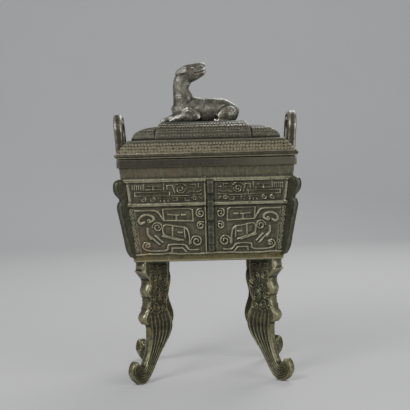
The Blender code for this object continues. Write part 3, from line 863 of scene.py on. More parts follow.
@dataclass
class Body:
    """The tapered walls, floor and rim. All sizes are in millimetres."""

    bottom: float = 124.2
    wall_top: float = 219.2
    rim_top: float = 227.7
    rim_half: tuple[float, float] = (88.75, 71.5)
    overhang: float = 2.2
    taper: float = 11.5
    wall: float = 4.5
    floor: float = 5.0
    line_low: float = 131.7
    mask_low: float = 133.3
    mask_high: float = 180.2
    frieze_low: float = 184.0
    frieze_high: float = 204.5
    ledge_high: float = 208.5
    mask_grid: tuple[float, float] = (76.5, 46.0)
    frieze_grid: tuple[float, float] = (76.5, 20.5)
    seam: float = 2.9
    line_rise: float = 1.25
    corner_margin: float = 6.2
    seam_line: float = 5.0
    border_line: float = 8.8

    def half(self, z: np.ndarray | float) -> tuple[np.ndarray, np.ndarray]:
        """Half length and half width of the walls' outside at a height."""
        less = self.taper * (self.wall_top - z) / (self.wall_top - self.bottom) + self.overhang
        return self.rim_half[0] - less, self.rim_half[1] - less

    def lengths(self, face: Face, z: np.ndarray | float) -> tuple[np.ndarray, np.ndarray]:
        """Half length along a wall, and its distance from the middle, at a height."""
        x, y = self.half(z)
        return (x, y) if face.value[0][0] else (y, x)

    def on_wall(self, face: Face, along: np.ndarray, z: np.ndarray, out: np.ndarray) -> np.ndarray:
        """Places points on a wall.

        Args:
            face: The wall.
            along: How far along it each lies.
            z: Its height.
            out: How far it stands out.

        Returns:
            Points in space, with the coordinates last.
        """
        direction, outward_way = face.value
        distance = self.lengths(face, z)[1] + out
        return np.stack((
            direction[0] * along + outward_way[0] * distance,
            direction[1] * along + outward_way[1] * distance, z + 0.0 * along), axis=-1)

    def mask_lines(self) -> list[tuple[Path, float]]:
        """Half of an animal mask on its grid, outwards and upwards; each line has a width."""
        horn = [(17.0, 31.4), (17.6, 42.4), (20.0, 43.8), (45.8, 43.8), (44.8, 32.4), (17.0, 31.4)]
        brow = [(44.8, 32.4), (50.6, 40.8), (57.0, 42.6), (72.0, 42.4)]
        crest = [(57.6, 31.4), (54.4, 33.2), (56.0, 36.8), (61.2, 38.4), (66.6, 36.6),
                 (69.0, 32.8), (67.0, 29.6), (63.8, 31.0)]
        eye = [(21.0, 8.4), (21.2, 17.6), (24.2, 24.4), (33.0, 26.4), (44.6, 27.8),
               (45.2, 18.6), (36.0, 15.6), (27.2, 12.6)]
        jaw = [(13.0, 2.8), (21.4, 3.0), (26.4, 8.0), (40.8, 8.0), (43.2, 2.8), (60.4, 2.8),
               (65.6, 6.6), (63.4, 11.0), (59.0, 9.6)]
        inner_jaw = [(24.0, 1.0), (27.6, 4.8), (37.6, 4.8), (37.9, 1.1)]
        fine = [horn, inner_jaw, [(31.0, 37.4), (41.0, 38.4)], [(33.0, 37.4), (33.0, 32.4)],
                [(36.6, 26.6), (36.8, 17.0)], [(25.6, 25.4), (25.0, 14.6)],
                [(57.6, 16.6), (49.8, 8.8)], [(53.6, 17.6), (46.8, 10.8)]]
        broad = [[(60.8, 24.6), (60.6, 19.4), (57.4, 14.6)], [(30.5, 12.7), (46.4, 17.2)],
                 [(31.0, 20.5), (27.6, 20.3)], [(27.6, 37.7), (24.6, 37.7)]]
        spirals = [
            spiral((9.8, 38.8), 4.7, -1.5, 100), spiral((9.8, 26.6), 4.1, -1.4, 130),
            spiral((51.0, 26.0), 5.1, 1.6, 0), spiral((14.0, 11.2), 5.9, 1.6, -20),
            spiral((58.8, 32.6), 2.2, 1.0, 200), spiral((60.6, 7.2), 2.4, 1.0, -30)]
        return [(smooth_path(crest, 4), 2.3)] + [
            (np.array(line, float), 2.1) for line in broad] + [
            (np.array(line, float), 1.45) for line in fine] + [
            (smooth_path(line, 4), 1.6) for line in (brow, eye, jaw)] + [
            (line, 1.45) for line in spirals]

    def frieze_lines(self) -> list[tuple[Path, float]]:
        """Half of the dragon band on its grid; each line has a width."""
        corners = [
            [(36.0, 10.6), (66.5, 10.9), (66.5, 7.4), (36.0, 7.0), (36.0, 10.6)],
            [(41.0, 19.6), (41.0, 13.2)], [(58.9, 19.2), (58.9, 12.8)],
            [(43.0, 13.2), (57.4, 13.4)], [(50.4, 13.2), (50.4, 16.2)],
            [(45.6, 16.6), (54.6, 16.8)], [(38.0, 13.4), (38.0, 17.4), (33.2, 17.4), (33.0, 14.6)],
            [(20.4, 14.6), (14.4, 14.8)], [(19.8, 18.2), (12.8, 17.8), (12.6, 15.4)],
            [(10.4, 19.0), (10.2, 14.8), (7.6, 14.8)], [(34.4, 7.0), (20.0, 6.9), (7.6, 8.0)],
            [(33.6, 4.8), (29.4, 4.8), (29.2, 2.2), (33.0, 2.0)],
            [(26.2, 4.6), (22.4, 4.6), (22.4, 2.0), (18.8, 2.0)],
            [(46.0, 4.8), (36.8, 4.6)], [(10.0, 5.2), (7.4, 3.0)]]
        curves = [
            [(20.4, 9.4), (16.4, 10.8), (12.4, 10.2), (8.0, 11.6)],
            [(31.4, 9.8), (32.2, 14.6), (29.4, 18.2), (24.4, 18.8), (21.4, 16.6)]]
        hatch = [[(60.9 + 1.9 * k, 13.4), (60.9 + 1.9 * k, 17.6)] for k in range(5)]
        ticks = [[(37.4 + 3.4 * k, 1.0), (37.4 + 3.4 * k, 2.8)] for k in range(3)]
        spirals = [
            spiral((26.2, 13.2), 4.1, 1.4, 180), spiral((14.2, 3.9), 2.4, 1.2, 0),
            spiral((51.4, 3.7), 2.6, 1.3, 90), spiral((59.2, 3.7), 2.6, 1.3, 90)]
        return [(np.array(line, float), 0.95) for line in corners + hatch + ticks] + [
            (smooth_path(line, 4), 0.95) for line in curves] + [(line, 1.0) for line in spirals]

    def laid_out(self, face: Face, drawn: Path, grid: tuple[float, float], low: float,
                 high: float, side: int) -> Path:
        """Stretches a drawn line onto half of a wall.

        Args:
            face: The wall.
            drawn: The line on its grid.
            grid: The grid's size.
            low: Height of the grid's bottom.
            high: Height of its top.
            side: -1 for the first half along the wall, 1 for the second.

        Returns:
            The line as (along, height).
        """
        reach = self.lengths(face, low)[0] - side * self.seam
        along = self.seam + side * drawn[:, 0] / grid[0] * reach
        return np.column_stack((along, low + drawn[:, 1] / grid[1] * (high - low)))

    def relief(self, face: Face, along: np.ndarray, z: np.ndarray) -> np.ndarray:
        """Works out how far each place of a wall stands out.

        Args:
            face: The wall.
            along: Distance along it.
            z: Height.

        Returns:
            One height for each place, in millimetres.
        """
        carving = Carving(np.column_stack((along, z)))
        plainer = face in (Face.LEFT, Face.RIGHT)
        for lines, grid, low, high in (
                (self.mask_lines(), self.mask_grid, self.mask_low, self.mask_high),
                (self.frieze_lines(), self.frieze_grid, self.frieze_low, self.frieze_high)):
            for side in (-1, 1):
                for drawn, width in lines[:-2] if plainer else lines:
                    path = self.laid_out(face, drawn, grid, low, high, side)
                    carving.ridge(path, width, self.line_rise, 0.45)
        heights = np.array([self.frieze_low, self.frieze_high])
        mask_ends = np.array([self.mask_low, self.mask_high])
        edge = self.lengths(face, heights)[0] - self.corner_margin
        for side in (-1, 1):
            carving.ridge(np.column_stack((side * edge, heights)), 2.6, 1.0)
            seam = self.seam + side * self.seam_line
            carving.ridge(np.array([(seam, self.mask_low), (seam, self.ledge_high)]),
                          1.8, 0.95 if side < 0 else 0.3)
            slant = self.lengths(face, mask_ends)[0] - self.border_line
            carving.ridge(np.column_stack((side * slant, mask_ends)), 0.9, 0.45, 0.4)
            for outline, rise in (
                    ([(17, 32), (18.4, 43), (45, 43), (43.8, 33)], 0.2),
                    ([(22, 16), (24.2, 24.4), (33, 26.4), (44.6, 27.8), (45.2, 18.6),
                      (36, 15.6)], 0.6)):
                path = self.laid_out(face, np.array(outline, float), self.mask_grid,
                                     self.mask_low, self.mask_high, side)
                carving.cushion(path, rise, 3.0)
        length = self.lengths(face, z)[0]
        inner = eased((length - np.abs(along)) / 2.5)
        waver = 0.35 * np.sin(along * 0.11) + 0.2 * np.sin(along * 0.31 + 1.0)
        belts = (
            1.1 * band(z, self.line_low + waver, self.mask_low + waver, 0.5)
            + 1.25 * band(z, self.mask_high + 0.4, self.frieze_low, 0.9)
            - 0.45 * band(z, self.mask_high - 1.8, self.mask_high - 0.8, 0.5)
            + 1.15 * band(z, self.frieze_high, self.ledge_high - 0.4, 0.6)
            - 0.35 * band(z, self.frieze_high - 1.6, self.frieze_high - 0.8, 0.4)
            - 1.2 * eased((self.bottom + 1.3 - z) / 1.3))
        return belts + carving.height * inner

    def wall_mesh(self, face: Face, cell: float, grain: Grain) -> bpy.types.Mesh:
        """Builds one wall as a closed slab, mitred to its neighbours.

        Args:
            face: The wall.
            cell: Size of its cells in millimetres.
            grain: Noise of the cast surface.

        Returns:
            The wall's mesh.
        """
        step = 8
        top = self.wall_top + 1.0
        columns = step * round(2 * self.lengths(face, self.wall_top)[0] / cell / step)
        rows = step * round((top - self.bottom) / cell / step)
        share, z = np.meshgrid(
            np.linspace(-1.0, 1.0, columns + 1), np.linspace(self.bottom, top, rows + 1),
            indexing="ij")
        length = self.lengths(face, z)[0]
        along = share * length
        out = self.relief(face, along.ravel(), z.ravel()).reshape(z.shape)
        places = self.on_wall(face, along, z, 0.0 * z).reshape(-1, 3)
        moulding = eased((self.mask_low + 1.0 - z) / 2.0)
        out = out * (1 + 0.25 * grain.at(places, 7.0).reshape(z.shape))
        for period, size in ((2.2, 0.15), (9.0, 0.24), (4.0, 0.38 * moulding)):
            out = out + size * grain.at(places, period).reshape(z.shape)
        outer = self.on_wall(face, share * (length + out), z, out)
        back_share, back_z = share[::step, ::step], z[::step, ::step]
        back_length = self.lengths(face, back_z)[0] - self.wall
        inner = self.on_wall(face, back_share * back_length, back_z, -self.wall + 0.0 * back_z)
        keep = np.ones((columns // step, rows // step), bool)
        points, faces = slab(outer, inner, step, keep)
        return mesh_of(f"wall_{face.name.lower()}", points, faces)

    def floor_mesh(self, grain: Grain) -> bpy.types.Mesh:
        """Builds the vessel's floor, slightly uneven on its underside."""
        step = 4
        half_x, half_y = self.half(self.bottom)
        x, y = np.meshgrid(
            np.linspace(-half_x + self.wall - 0.6, half_x - self.wall + 0.6, 81),
            np.linspace(-half_y + self.wall - 0.6, half_y - self.wall + 0.6, 61), indexing="ij")
        under = np.stack((x, y, 0.0 * x + self.bottom), axis=-1)
        under[..., 2] += 0.35 + 0.25 * grain.at(under.reshape(-1, 3), 6.0).reshape(x.shape)
        upper = under[::step, ::step].copy()
        upper[..., 2] = self.bottom + self.floor
        points, faces = slab(under, upper, step, np.ones((20, 15), bool))
        return mesh_of("floor", points, faces)

    def rim_mesh(self, grain: Grain) -> bpy.types.Mesh:
        """Builds the rim as a rounded band round the mouth."""
        inner = self.overhang + self.wall
        profile = rounded_box(inner, self.wall_top, self.rim_top, 1.0, 8)
        points, faces = ring_sweep(self.rim_half, profile, 1.6, spacing=2.0)
        shift = 0.16 * grain.at(points, 7.0) + 0.07 * grain.at(points, 1.8)
        points[:, 2] += np.where(points[:, 2] < self.rim_top - 0.5, shift, shift * 0.2 - 0.05)
        return mesh_of("rim", points, faces)


def rounded_box(inset: float, low: float, high: float, radius: float, side_steps: int) -> Path:
    """Draws a closed profile with rounded corners, whose outer side has no inset.

    Args:
        inset: Inset of its inner side.
        low: Height of its bottom.
        high: Height of its top.
        radius: Radius of the corners.
        side_steps: Points along each straight side.

    Returns:
        The profile as rows of inset and height, not closed by a repeat.
    """
    corners = ((radius, low + radius, 180), (inset - radius, low + radius, 270),
               (inset - radius, high - radius, 0), (radius, high - radius, 90))
    rows: list[tuple[float, float]] = []
    for middle_x, middle_z, start in corners:
        for step in range(5):
            angle = math.radians(start + 90 * step / 4)
            rows.append((middle_x + radius * math.cos(angle), middle_z + radius * math.sin(angle)))
    return densified(np.array(rows), (high - low) / side_steps)


def densified(rows: Path, spacing: float) -> Path:
    """Adds points to a closed profile where two are further apart than a spacing."""
    made = []
    for start, end in zip(rows, np.roll(rows, -1, axis=0)):
        pieces = max(1, math.ceil(float(np.hypot(*(end - start))) / spacing))
        made.extend(start + (end - start) * k / pieces for k in range(pieces))
    return np.array(made)


def ring_sweep(half: tuple[float, float], profile: Path, radius: float,
               opening: float = 0.0, spacing: float = 1.2) -> tuple[np.ndarray, Faces]:
    """Sweeps a profile round a rectangle.

    Args:
        half: Half length and half width of the rectangle.
        profile: Closed profile of insets and heights.
        radius: Radius of the rectangle's corners.
        opening: Half width of a gap in the middle of each short side, nought for none.
        spacing: Distance between sections in millimetres.

    Returns:
        The points and faces of the closed band or bands.
    """
    inset, z = profile[:, 0], profile[:, 1]
    corner = np.maximum(radius - 0.8 * inset, 0.25)
    x_end, y_end = half[0] - inset - corner, half[1] - inset - corner
    sections = []

    def straight(first: tuple, last: tuple, length: float) -> None:
        """Adds sections from one to the other."""
        count = max(2, round(length / spacing))
        for step in range(count + 1):
            share = step / count
            sections.append(np.column_stack((
                first[0] + (last[0] - first[0]) * share,
                first[1] + (last[1] - first[1]) * share, z)))

    def turn(sx: int, sy: int, start: float) -> None:
        """Adds the sections of a rounded corner."""
        for step in range(1, 4):
            angle = math.radians(start + 90 * step / 4)
            sections.append(np.column_stack((
                sx * x_end + corner * math.cos(angle),
                sy * y_end + corner * math.sin(angle), z)))

    x_side, y_side = half[0] - inset, half[1] - inset
    gap = 0.0 * inset + opening
    count = len(profile)
    points: list[np.ndarray] = []
    faces: Faces = []

    def close(is_loop: bool) -> None:
        """Joins the sections gathered so far into a band."""
        start = sum(len(block) for block in points)
        total = len(sections)
        points.extend(sections)
        for index in range(total if is_loop else total - 1):
            following = (index + 1) % total
            for k in range(count):
                after = (k + 1) % count
                faces.append((
                    start + index * count + k, start + index * count + after,
                    start + following * count + after, start + following * count + k))
        if not is_loop:
            faces.append(tuple(start + k for k in range(count)))
            faces.append(tuple(start + (total - 1) * count + k for k in reversed(range(count))))
        sections.clear()

    parted = opening > 0
    short_side = half[1] - opening if parted else 2 * half[1]
    for way in (1, -1):
        start = gap if parted else -y_end
        straight((way * x_side, way * start), (way * x_side, way * y_end), short_side)
        turn(way, way, 90 - 90 * way)
        straight((way * x_end, way * y_side), (-way * x_end, way * y_side), 2 * half[0])
        turn(-way, way, 180 - 90 * way)
        if parted:
            straight((-way * x_side, way * y_end), (-way * x_side, way * gap), short_side)
            close(False)
    if not parted:
        close(True)
    return np.concatenate(points), faces


# Plates: legs, handles and flanges

CORNERS = (
    ("front_left", -1, -1), ("front_right", 1, -1), ("back_left", -1, 1), ("back_right", 1, 1))


def on_corners(skin: bpy.types.Mesh, prefix: str,
               corner: Callable[[np.ndarray], tuple]) -> list[tuple[str, bpy.types.Mesh]]:
    """Stands a copy of a plate on each corner's diagonal.

    Args:
        skin: The plate, which reaches outwards along X and upwards along Y.
        prefix: Start of the copies' names.
        corner: Gives the corner's X and Y at given heights.

    Returns:
        The name and mesh of each copy.
    """
    diagonal = math.sqrt(0.5)
    made = []
    for name, side_x, side_y in CORNERS:
        def placed(rows: np.ndarray, sx: int = side_x, sy: int = side_y) -> np.ndarray:
            """Turns the plate onto its diagonal."""
            x, y = corner(rows[:, 1])
            return np.column_stack((
                sx * (x + diagonal * (rows[:, 0] + rows[:, 2])),
                sy * (y + diagonal * (rows[:, 0] - rows[:, 2])), rows[:, 1]))
        made.append((f"{prefix}_{name}", mirrored(skin, placed)))
    return made


# Raised and sunk bands on a leg's outer edge: rise, from and to height on its grid, softness.
LEG_KNOBS = ((1.2, 90.0, 97.0, 3.5), (1.3, 61.0, 71.0, 4.5), (1.0, 108.0, 118.0, 3.0),
             (-1.1, 84.6, 86.0, 1.6), (-1.0, 102.2, 103.6, 1.4))


@dataclass
class Leg:
    """A plate leg that stands on the diagonal and curls up at the foot."""

    height: float = 124.2
    root: float = 3.0
    corner: tuple[float, float] = (69.05, 51.8)
    grid: float = 121.5
    thick: tuple[float, float, float] = (8.5, 11.5, 15.0)
    thick_at: tuple[float, float, float] = (0.44, 0.50, 0.90)
    plate: float = 8.5
    bevel: float = 1.6
    line_rise: float = 0.95
    voxel: float = 0.62

    def outline(self) -> Path:
        """The leg's side view: reach outwards from its top corner, and height."""
        corners = [
            (-31.6, 100), (-29.8, 76), (-33.4, 66), (-38.4, 56), (-38.6, 51), (-35.4, 44),
            (-28.8, 35.4), (-20.4, 25.4), (-9.6, 9.6), (-4.4, 3.2), (0.4, 0.0), (6.0, 0.0),
            (11.8, 2.6), (16.2, 7.6), (17.2, 13.4), (15.4, 20.0), (10.6, 23.6), (7.4, 20.6),
            (2.4, 16.6), (-0.2, 20.4), (-4.8, 31.8), (-6.5, 43.1), (-6.5, 53.6),
            (-6.0, 57.2), (-1.2, 59.0), (1.0, 65.4), (-3.2, 73.8), (-5.1, 81.6),
            (-4.8, 84.8), (-3.2, 87.2), (-2.4, 91.4), (-4.0, 96.6), (-4.6, 101.2),
            (-3.2, 104.2), (0.4, 108.4), (1.6, 113.0)]
        scale = self.height / self.grid
        smooth = smooth_path(corners, 5, True)
        stop = -5
        rows = np.maximum(smooth[:stop] * scale, (-99.0, 0.0))
        return np.vstack((rows, [(corners[-1][0] * scale, self.height + self.root),
                                 (corners[0][0] * scale, self.height + self.root)]))

    def thickness(self, z: np.ndarray) -> np.ndarray:
        """The plate's thickness at a height, from the shank past the lobe to the top."""
        return np.interp(z, [share * self.height for share in self.thick_at], self.thick)

    def lines(self) -> list[tuple[Path, float]]:
        """Raised lines of the side faces on the leg's grid, each with its width."""
        inner = smooth_path([
            (-33.4, 66), (-37.2, 58), (-38.0, 51), (-35.4, 44), (-28.8, 35.4), (-20.4, 25.4),
            (-9.6, 9.6), (-1.6, 0.8), (6.0, 0.0), (13.6, 4.4), (17.2, 12.0), (15.4, 20.0),
            (10.6, 23.6)], 6)
        outer = smooth_path([
            (-4.2, 66), (-4.6, 60), (-6.5, 54), (-6.5, 45), (-5.4, 36), (-2.8, 26), (0.8, 18.4),
            (3.4, 16.2), (5.4, 16.0), (6.6, 16.8), (7.4, 18.0), (7.8, 19.4), (8.0, 20.6)], 6)
        streams = 6
        stream = [
            inner + (outer - inner) * (index + 0.7) / (streams + 0.4) for index in range(streams)]
        scrolls = [
            spiral((-23.6, 101.5), 7.4, 2.2, 200), spiral((-9.8, 106.4), 6.2, 1.9, 60),
            spiral((-15.6, 92.6), 4.2, -1.4, 0), spiral((-8.6, 84.6), 4.8, 1.6, 120),
            spiral((-23.2, 83.6), 6.4, -2.0, 90), spiral((-14.4, 76.0), 4.6, 1.5, 200),
            spiral((-25.6, 72.4), 4.2, 1.3, -40), spiral((-7.4, 73.6), 3.4, -1.1, 40)]
        hooks = [
            [(-30.4, 113), (-24.0, 116.4), (-17.0, 114.4), (-14.6, 117.6), (-6.0, 116.6)],
            [(-30.4, 93.0), (-26.6, 91.4), (-21.4, 93.4)], [(-7.6, 97.4), (-6.0, 92.8)],
            [(-19.6, 70.4), (-15.4, 68.6), (-11.0, 69.6)]]
        return [(line, 0.95) for line in stream] + [(line, 0.85) for line in scrolls] + [
            (smooth_path(line, 5), 0.85) for line in hooks]

    def meshes(self, grain: Grain) -> list[tuple[str, bpy.types.Mesh]]:
        """Builds the legs, each at its corner.

        Args:
            grain: Noise of the cast surface.

        Returns:
            The name and mesh of each leg.
        """
        skin = skinned(plate(self.outline(), self.plate, self.bevel), self.voxel, 2)
        points, facing = coordinates(skin), normals(skin)
        scale = self.height / self.grid
        side = np.sign(points[:, 2]) * side_share(facing, 0.45)
        carving = Carving(points[:, :2])
        for line, width in self.lines():
            carving.ridge(line * scale, width, self.line_rise, 0.4)
        half = self.thickness(points[:, 1]) / 2
        points[:, 2] *= half / (self.plate / 2)
        across = points[:, 2] / half
        points[:, 2] += side * (carving.height - 0.35)
        height = points[:, 1] / scale
        knobs = sum(rise * band(height, low, high, soft) for rise, low, high, soft in LEG_KNOBS)
        outward_share = eased((facing[:, 0] - 0.35) / 0.4)
        points[:, 0] += outward_share * (knobs - 1.3 * across ** 2)
        foot_wear = 0.2 * eased((28 - height) / 8)
        rough = 0.08 * grain.at(points, 1.7) + foot_wear * grain.at(points, 2.6)
        points += facing * (0.22 * grain.at(points, 5.0) + rough)[:, None]
        points[:, 1] = np.maximum(points[:, 1], 0.0)
        move_points(skin, points)
        return on_corners(skin, "leg", lambda z: self.corner)


@dataclass
class Handle:
    """An upright loop handle that leans outwards from the rim."""

    thickness: float = 9.2
    post: float = 9.5
    span: float = 48.0
    rise: float = 46.6
    corner: float = 17.0
    outset: float = 3.7
    lean: float = 4.0
    root: float = 6.5
    rim_half: float = 88.75
    rim_top: float = 227.7
    bevel: float = 2.6
    voxel: float = 0.8

    def outline(self) -> Path:
        """The arch across the loop and its height above the rim."""
        half, straight = self.span / 2, self.rise - self.corner
        inner = self.corner - self.post

        def arc(middle: float, radius: float, start: int, end: int) -> list[tuple]:
            """A quarter of a circle."""
            return [(middle + radius * math.cos(math.radians(a)),
                     straight + radius * math.sin(math.radians(a)))
                    for a in np.linspace(start, end, 11)]

        rows = [(half - self.post, -self.root), (half, -self.root)]
        rows += arc(half - self.corner, self.corner, 0, 90)
        rows += arc(self.corner - half, self.corner, 90, 180)
        rows += [(-half, -self.root), (self.post - half, -self.root)]
        rows += arc(self.corner - half, inner, 180, 90)
        rows += arc(half - self.corner, inner, 90, 0)
        return np.array(rows)

    def meshes(self, grain: Grain) -> list[tuple[str, bpy.types.Mesh]]:
        """Builds both handles.

        Args:
            grain: Noise of the cast surface.

        Returns:
            The name and mesh of each handle.
        """
        skin = skinned(plate(self.outline(), self.thickness, self.bevel), self.voxel, 2)
        points, facing = coordinates(skin), normals(skin)
        radius = self.corner - self.post / 2
        middle = np.array(
            [(self.span / 2 - self.post / 2, 0.0)] + [
                (self.span / 2 - self.corner + radius * math.cos(a),
                 self.rise - self.corner + radius * math.sin(a))
                for a in np.radians(np.linspace(0, 90, 9))])
        middle = np.vstack((middle, middle[::-1] * (-1, 1)))
        carving = Carving(points[:, :2])
        carving.groove(middle, 2.4, 0.8, 0.8)
        points[:, 2] += np.sign(points[:, 2]) * side_share(facing, 0.5) * carving.height
        points += facing * (0.2 * grain.at(points, 6.0) + 0.07 * grain.at(points, 1.6))[:, None]
        move_points(skin, points)
        base = self.rim_half + self.outset - self.thickness / 2
        made = []
        for name, side in (("left", -1), ("right", 1)):
            def placed(rows: np.ndarray, way: int = side) -> np.ndarray:
                """Stands the arch on the rim."""
                lean = np.maximum(rows[:, 1], 0.0) * math.tan(math.radians(self.lean))
                return np.column_stack((
                    way * (base + rows[:, 2] + lean), rows[:, 0], self.rim_top + rows[:, 1]))
            made.append((f"handle_{name}", mirrored(skin, placed)))
        return made


@dataclass
class Flanges:
    """The notched flanges at the corners and in the middle of the walls."""

    body: Body
    corner_reach: float = 10.2
    corner_thickness: float = 6.0
    centre_thickness: float = 6.2
    centre_reach: float = 5.5
    centre_rise: float = 1.6
    notch: float = 2.2
    root: float = 3.5
    voxel: float = 0.7

    def corner_outline(self) -> Path:
        """Reach and height of a corner flange."""
        lobes = [
            (2.6, 2.0), (5.4, 8.0), (6.6, 20.0), (7.4, 34.0), (8.6, 44.0), (8.8, 52.0),
            (6.8, 57.0), (4.6, 58.6), (5.4, 61.4), (9.2, 66.0), (9.7, 72.0), (7.4, 77.2),
            (2.4, 79.6)]
        low = self.body.bottom + 3.8
        height = self.body.ledge_high - low
        rows = smooth_path(lobes, 4)
        rows = rows / (9.7, 80.0) * (self.corner_reach, height) + (0.0, low)
        return np.vstack((rows, [(-self.root, low + height), (-self.root, low)]))

    def centre_ends(self) -> tuple[float, float]:
        """Heights of a centre flange's bottom and top."""
        return self.body.mask_low, self.body.frieze_high + self.centre_rise

    def centre_outline(self) -> Path:
        """Reach and height of a centre flange with its segments."""
        low, top = self.centre_ends()
        span = top - low
        rows = [(-self.root, low)]
        for start, end, share in ((0.0, 0.38, 0.72), (0.43, 0.73, 0.86), (0.80, 1.0, 1.0)):
            reach = self.centre_reach * share
            rows += [(self.notch, low + span * start), (reach, low + span * (start + 0.02)),
                     (reach, low + span * (end - 0.02)), (self.notch, low + span * end)]
        rows.append((-self.root, top))
        return np.array(rows)

    def corner_meshes(self, grain: Grain) -> list[tuple[str, bpy.types.Mesh]]:
        """Builds the corner flanges, with a line cut along their lobes."""
        outline = self.corner_outline()
        skin = skinned(plate(outline, self.corner_thickness, 1.3), self.voxel, 1)
        points, facing = coordinates(skin), normals(skin)
        carving = Carving(points[:, :2])
        low = self.body.bottom
        for line in (outline[3:-2] - (2.9, 0.0), spiral((4.4, low + 72.0), 2.8, 1.3, 0),
                     spiral((3.6, low + 48.0), 2.8, -1.2, 0)):
            carving.groove(line, 0.8, 0.5, 0.4)
        points[:, 2] += np.sign(points[:, 2]) * side_share(facing, 0.5) * carving.height
        points += facing * (0.27 * grain.at(points, 4.0) + 0.11 * grain.at(points, 1.5))[:, None]
        move_points(skin, points)
        return on_corners(skin, "corner_flange", self.body.half)

    def centre_meshes(self, grain: Grain) -> list[tuple[str, bpy.types.Mesh]]:
        """Builds the centre flanges, with cross cuts between their segments."""
        skin = skinned(plate(self.centre_outline(), self.centre_thickness, 0.9), self.voxel, 1)
        points, facing = coordinates(skin), normals(skin)
        low, top = self.centre_ends()
        cuts = np.zeros(len(points))
        for share in (0.10, 0.205, 0.30, 0.53, 0.63):
            place = low + (top - low) * share
            cuts += band(points[:, 1], place - 0.5, place + 0.5, 0.6)
        points += facing * (
            0.26 * grain.at(points, 3.4) - 0.3 * cuts * (points[:, 0] > 1.5))[:, None]
        move_points(skin, points)
        made = []
        for face in Face:
            def placed(rows: np.ndarray, wall: Face = face) -> np.ndarray:
                """Sets the flange in the middle of its wall."""
                return self.body.on_wall(
                    wall, rows[:, 2] + self.body.seam, rows[:, 1], rows[:, 0])
            made.append((f"centre_flange_{face.name.lower()}", mirrored(skin, placed)))
        return made


# Lid


def graded(stops: Sequence[float], cells: Sequence[float], step: int) -> np.ndarray:
    """Lays out grid lines that are closer together where a surface is steep.

    Args:
        stops: Places that a coarse line has to pass, in order.
        cells: Greatest distance between fine lines in each stretch.
        step: Fine cells to a coarse one.

    Returns:
        The lines' places.
    """
    lines = [np.array([stops[0]])]
    for start, end, cell in zip(stops, stops[1:], cells):
        count = step * max(1, math.ceil((end - start) / cell / step))
        lines.append(np.linspace(start, end, count + 1)[1:])
    return np.concatenate(lines)


def cell_middles(lines: np.ndarray, step: int) -> np.ndarray:
    """Middles of the coarse cells between grid lines."""
    coarse = lines[::step]
    return (coarse[1:] + coarse[:-1]) / 2


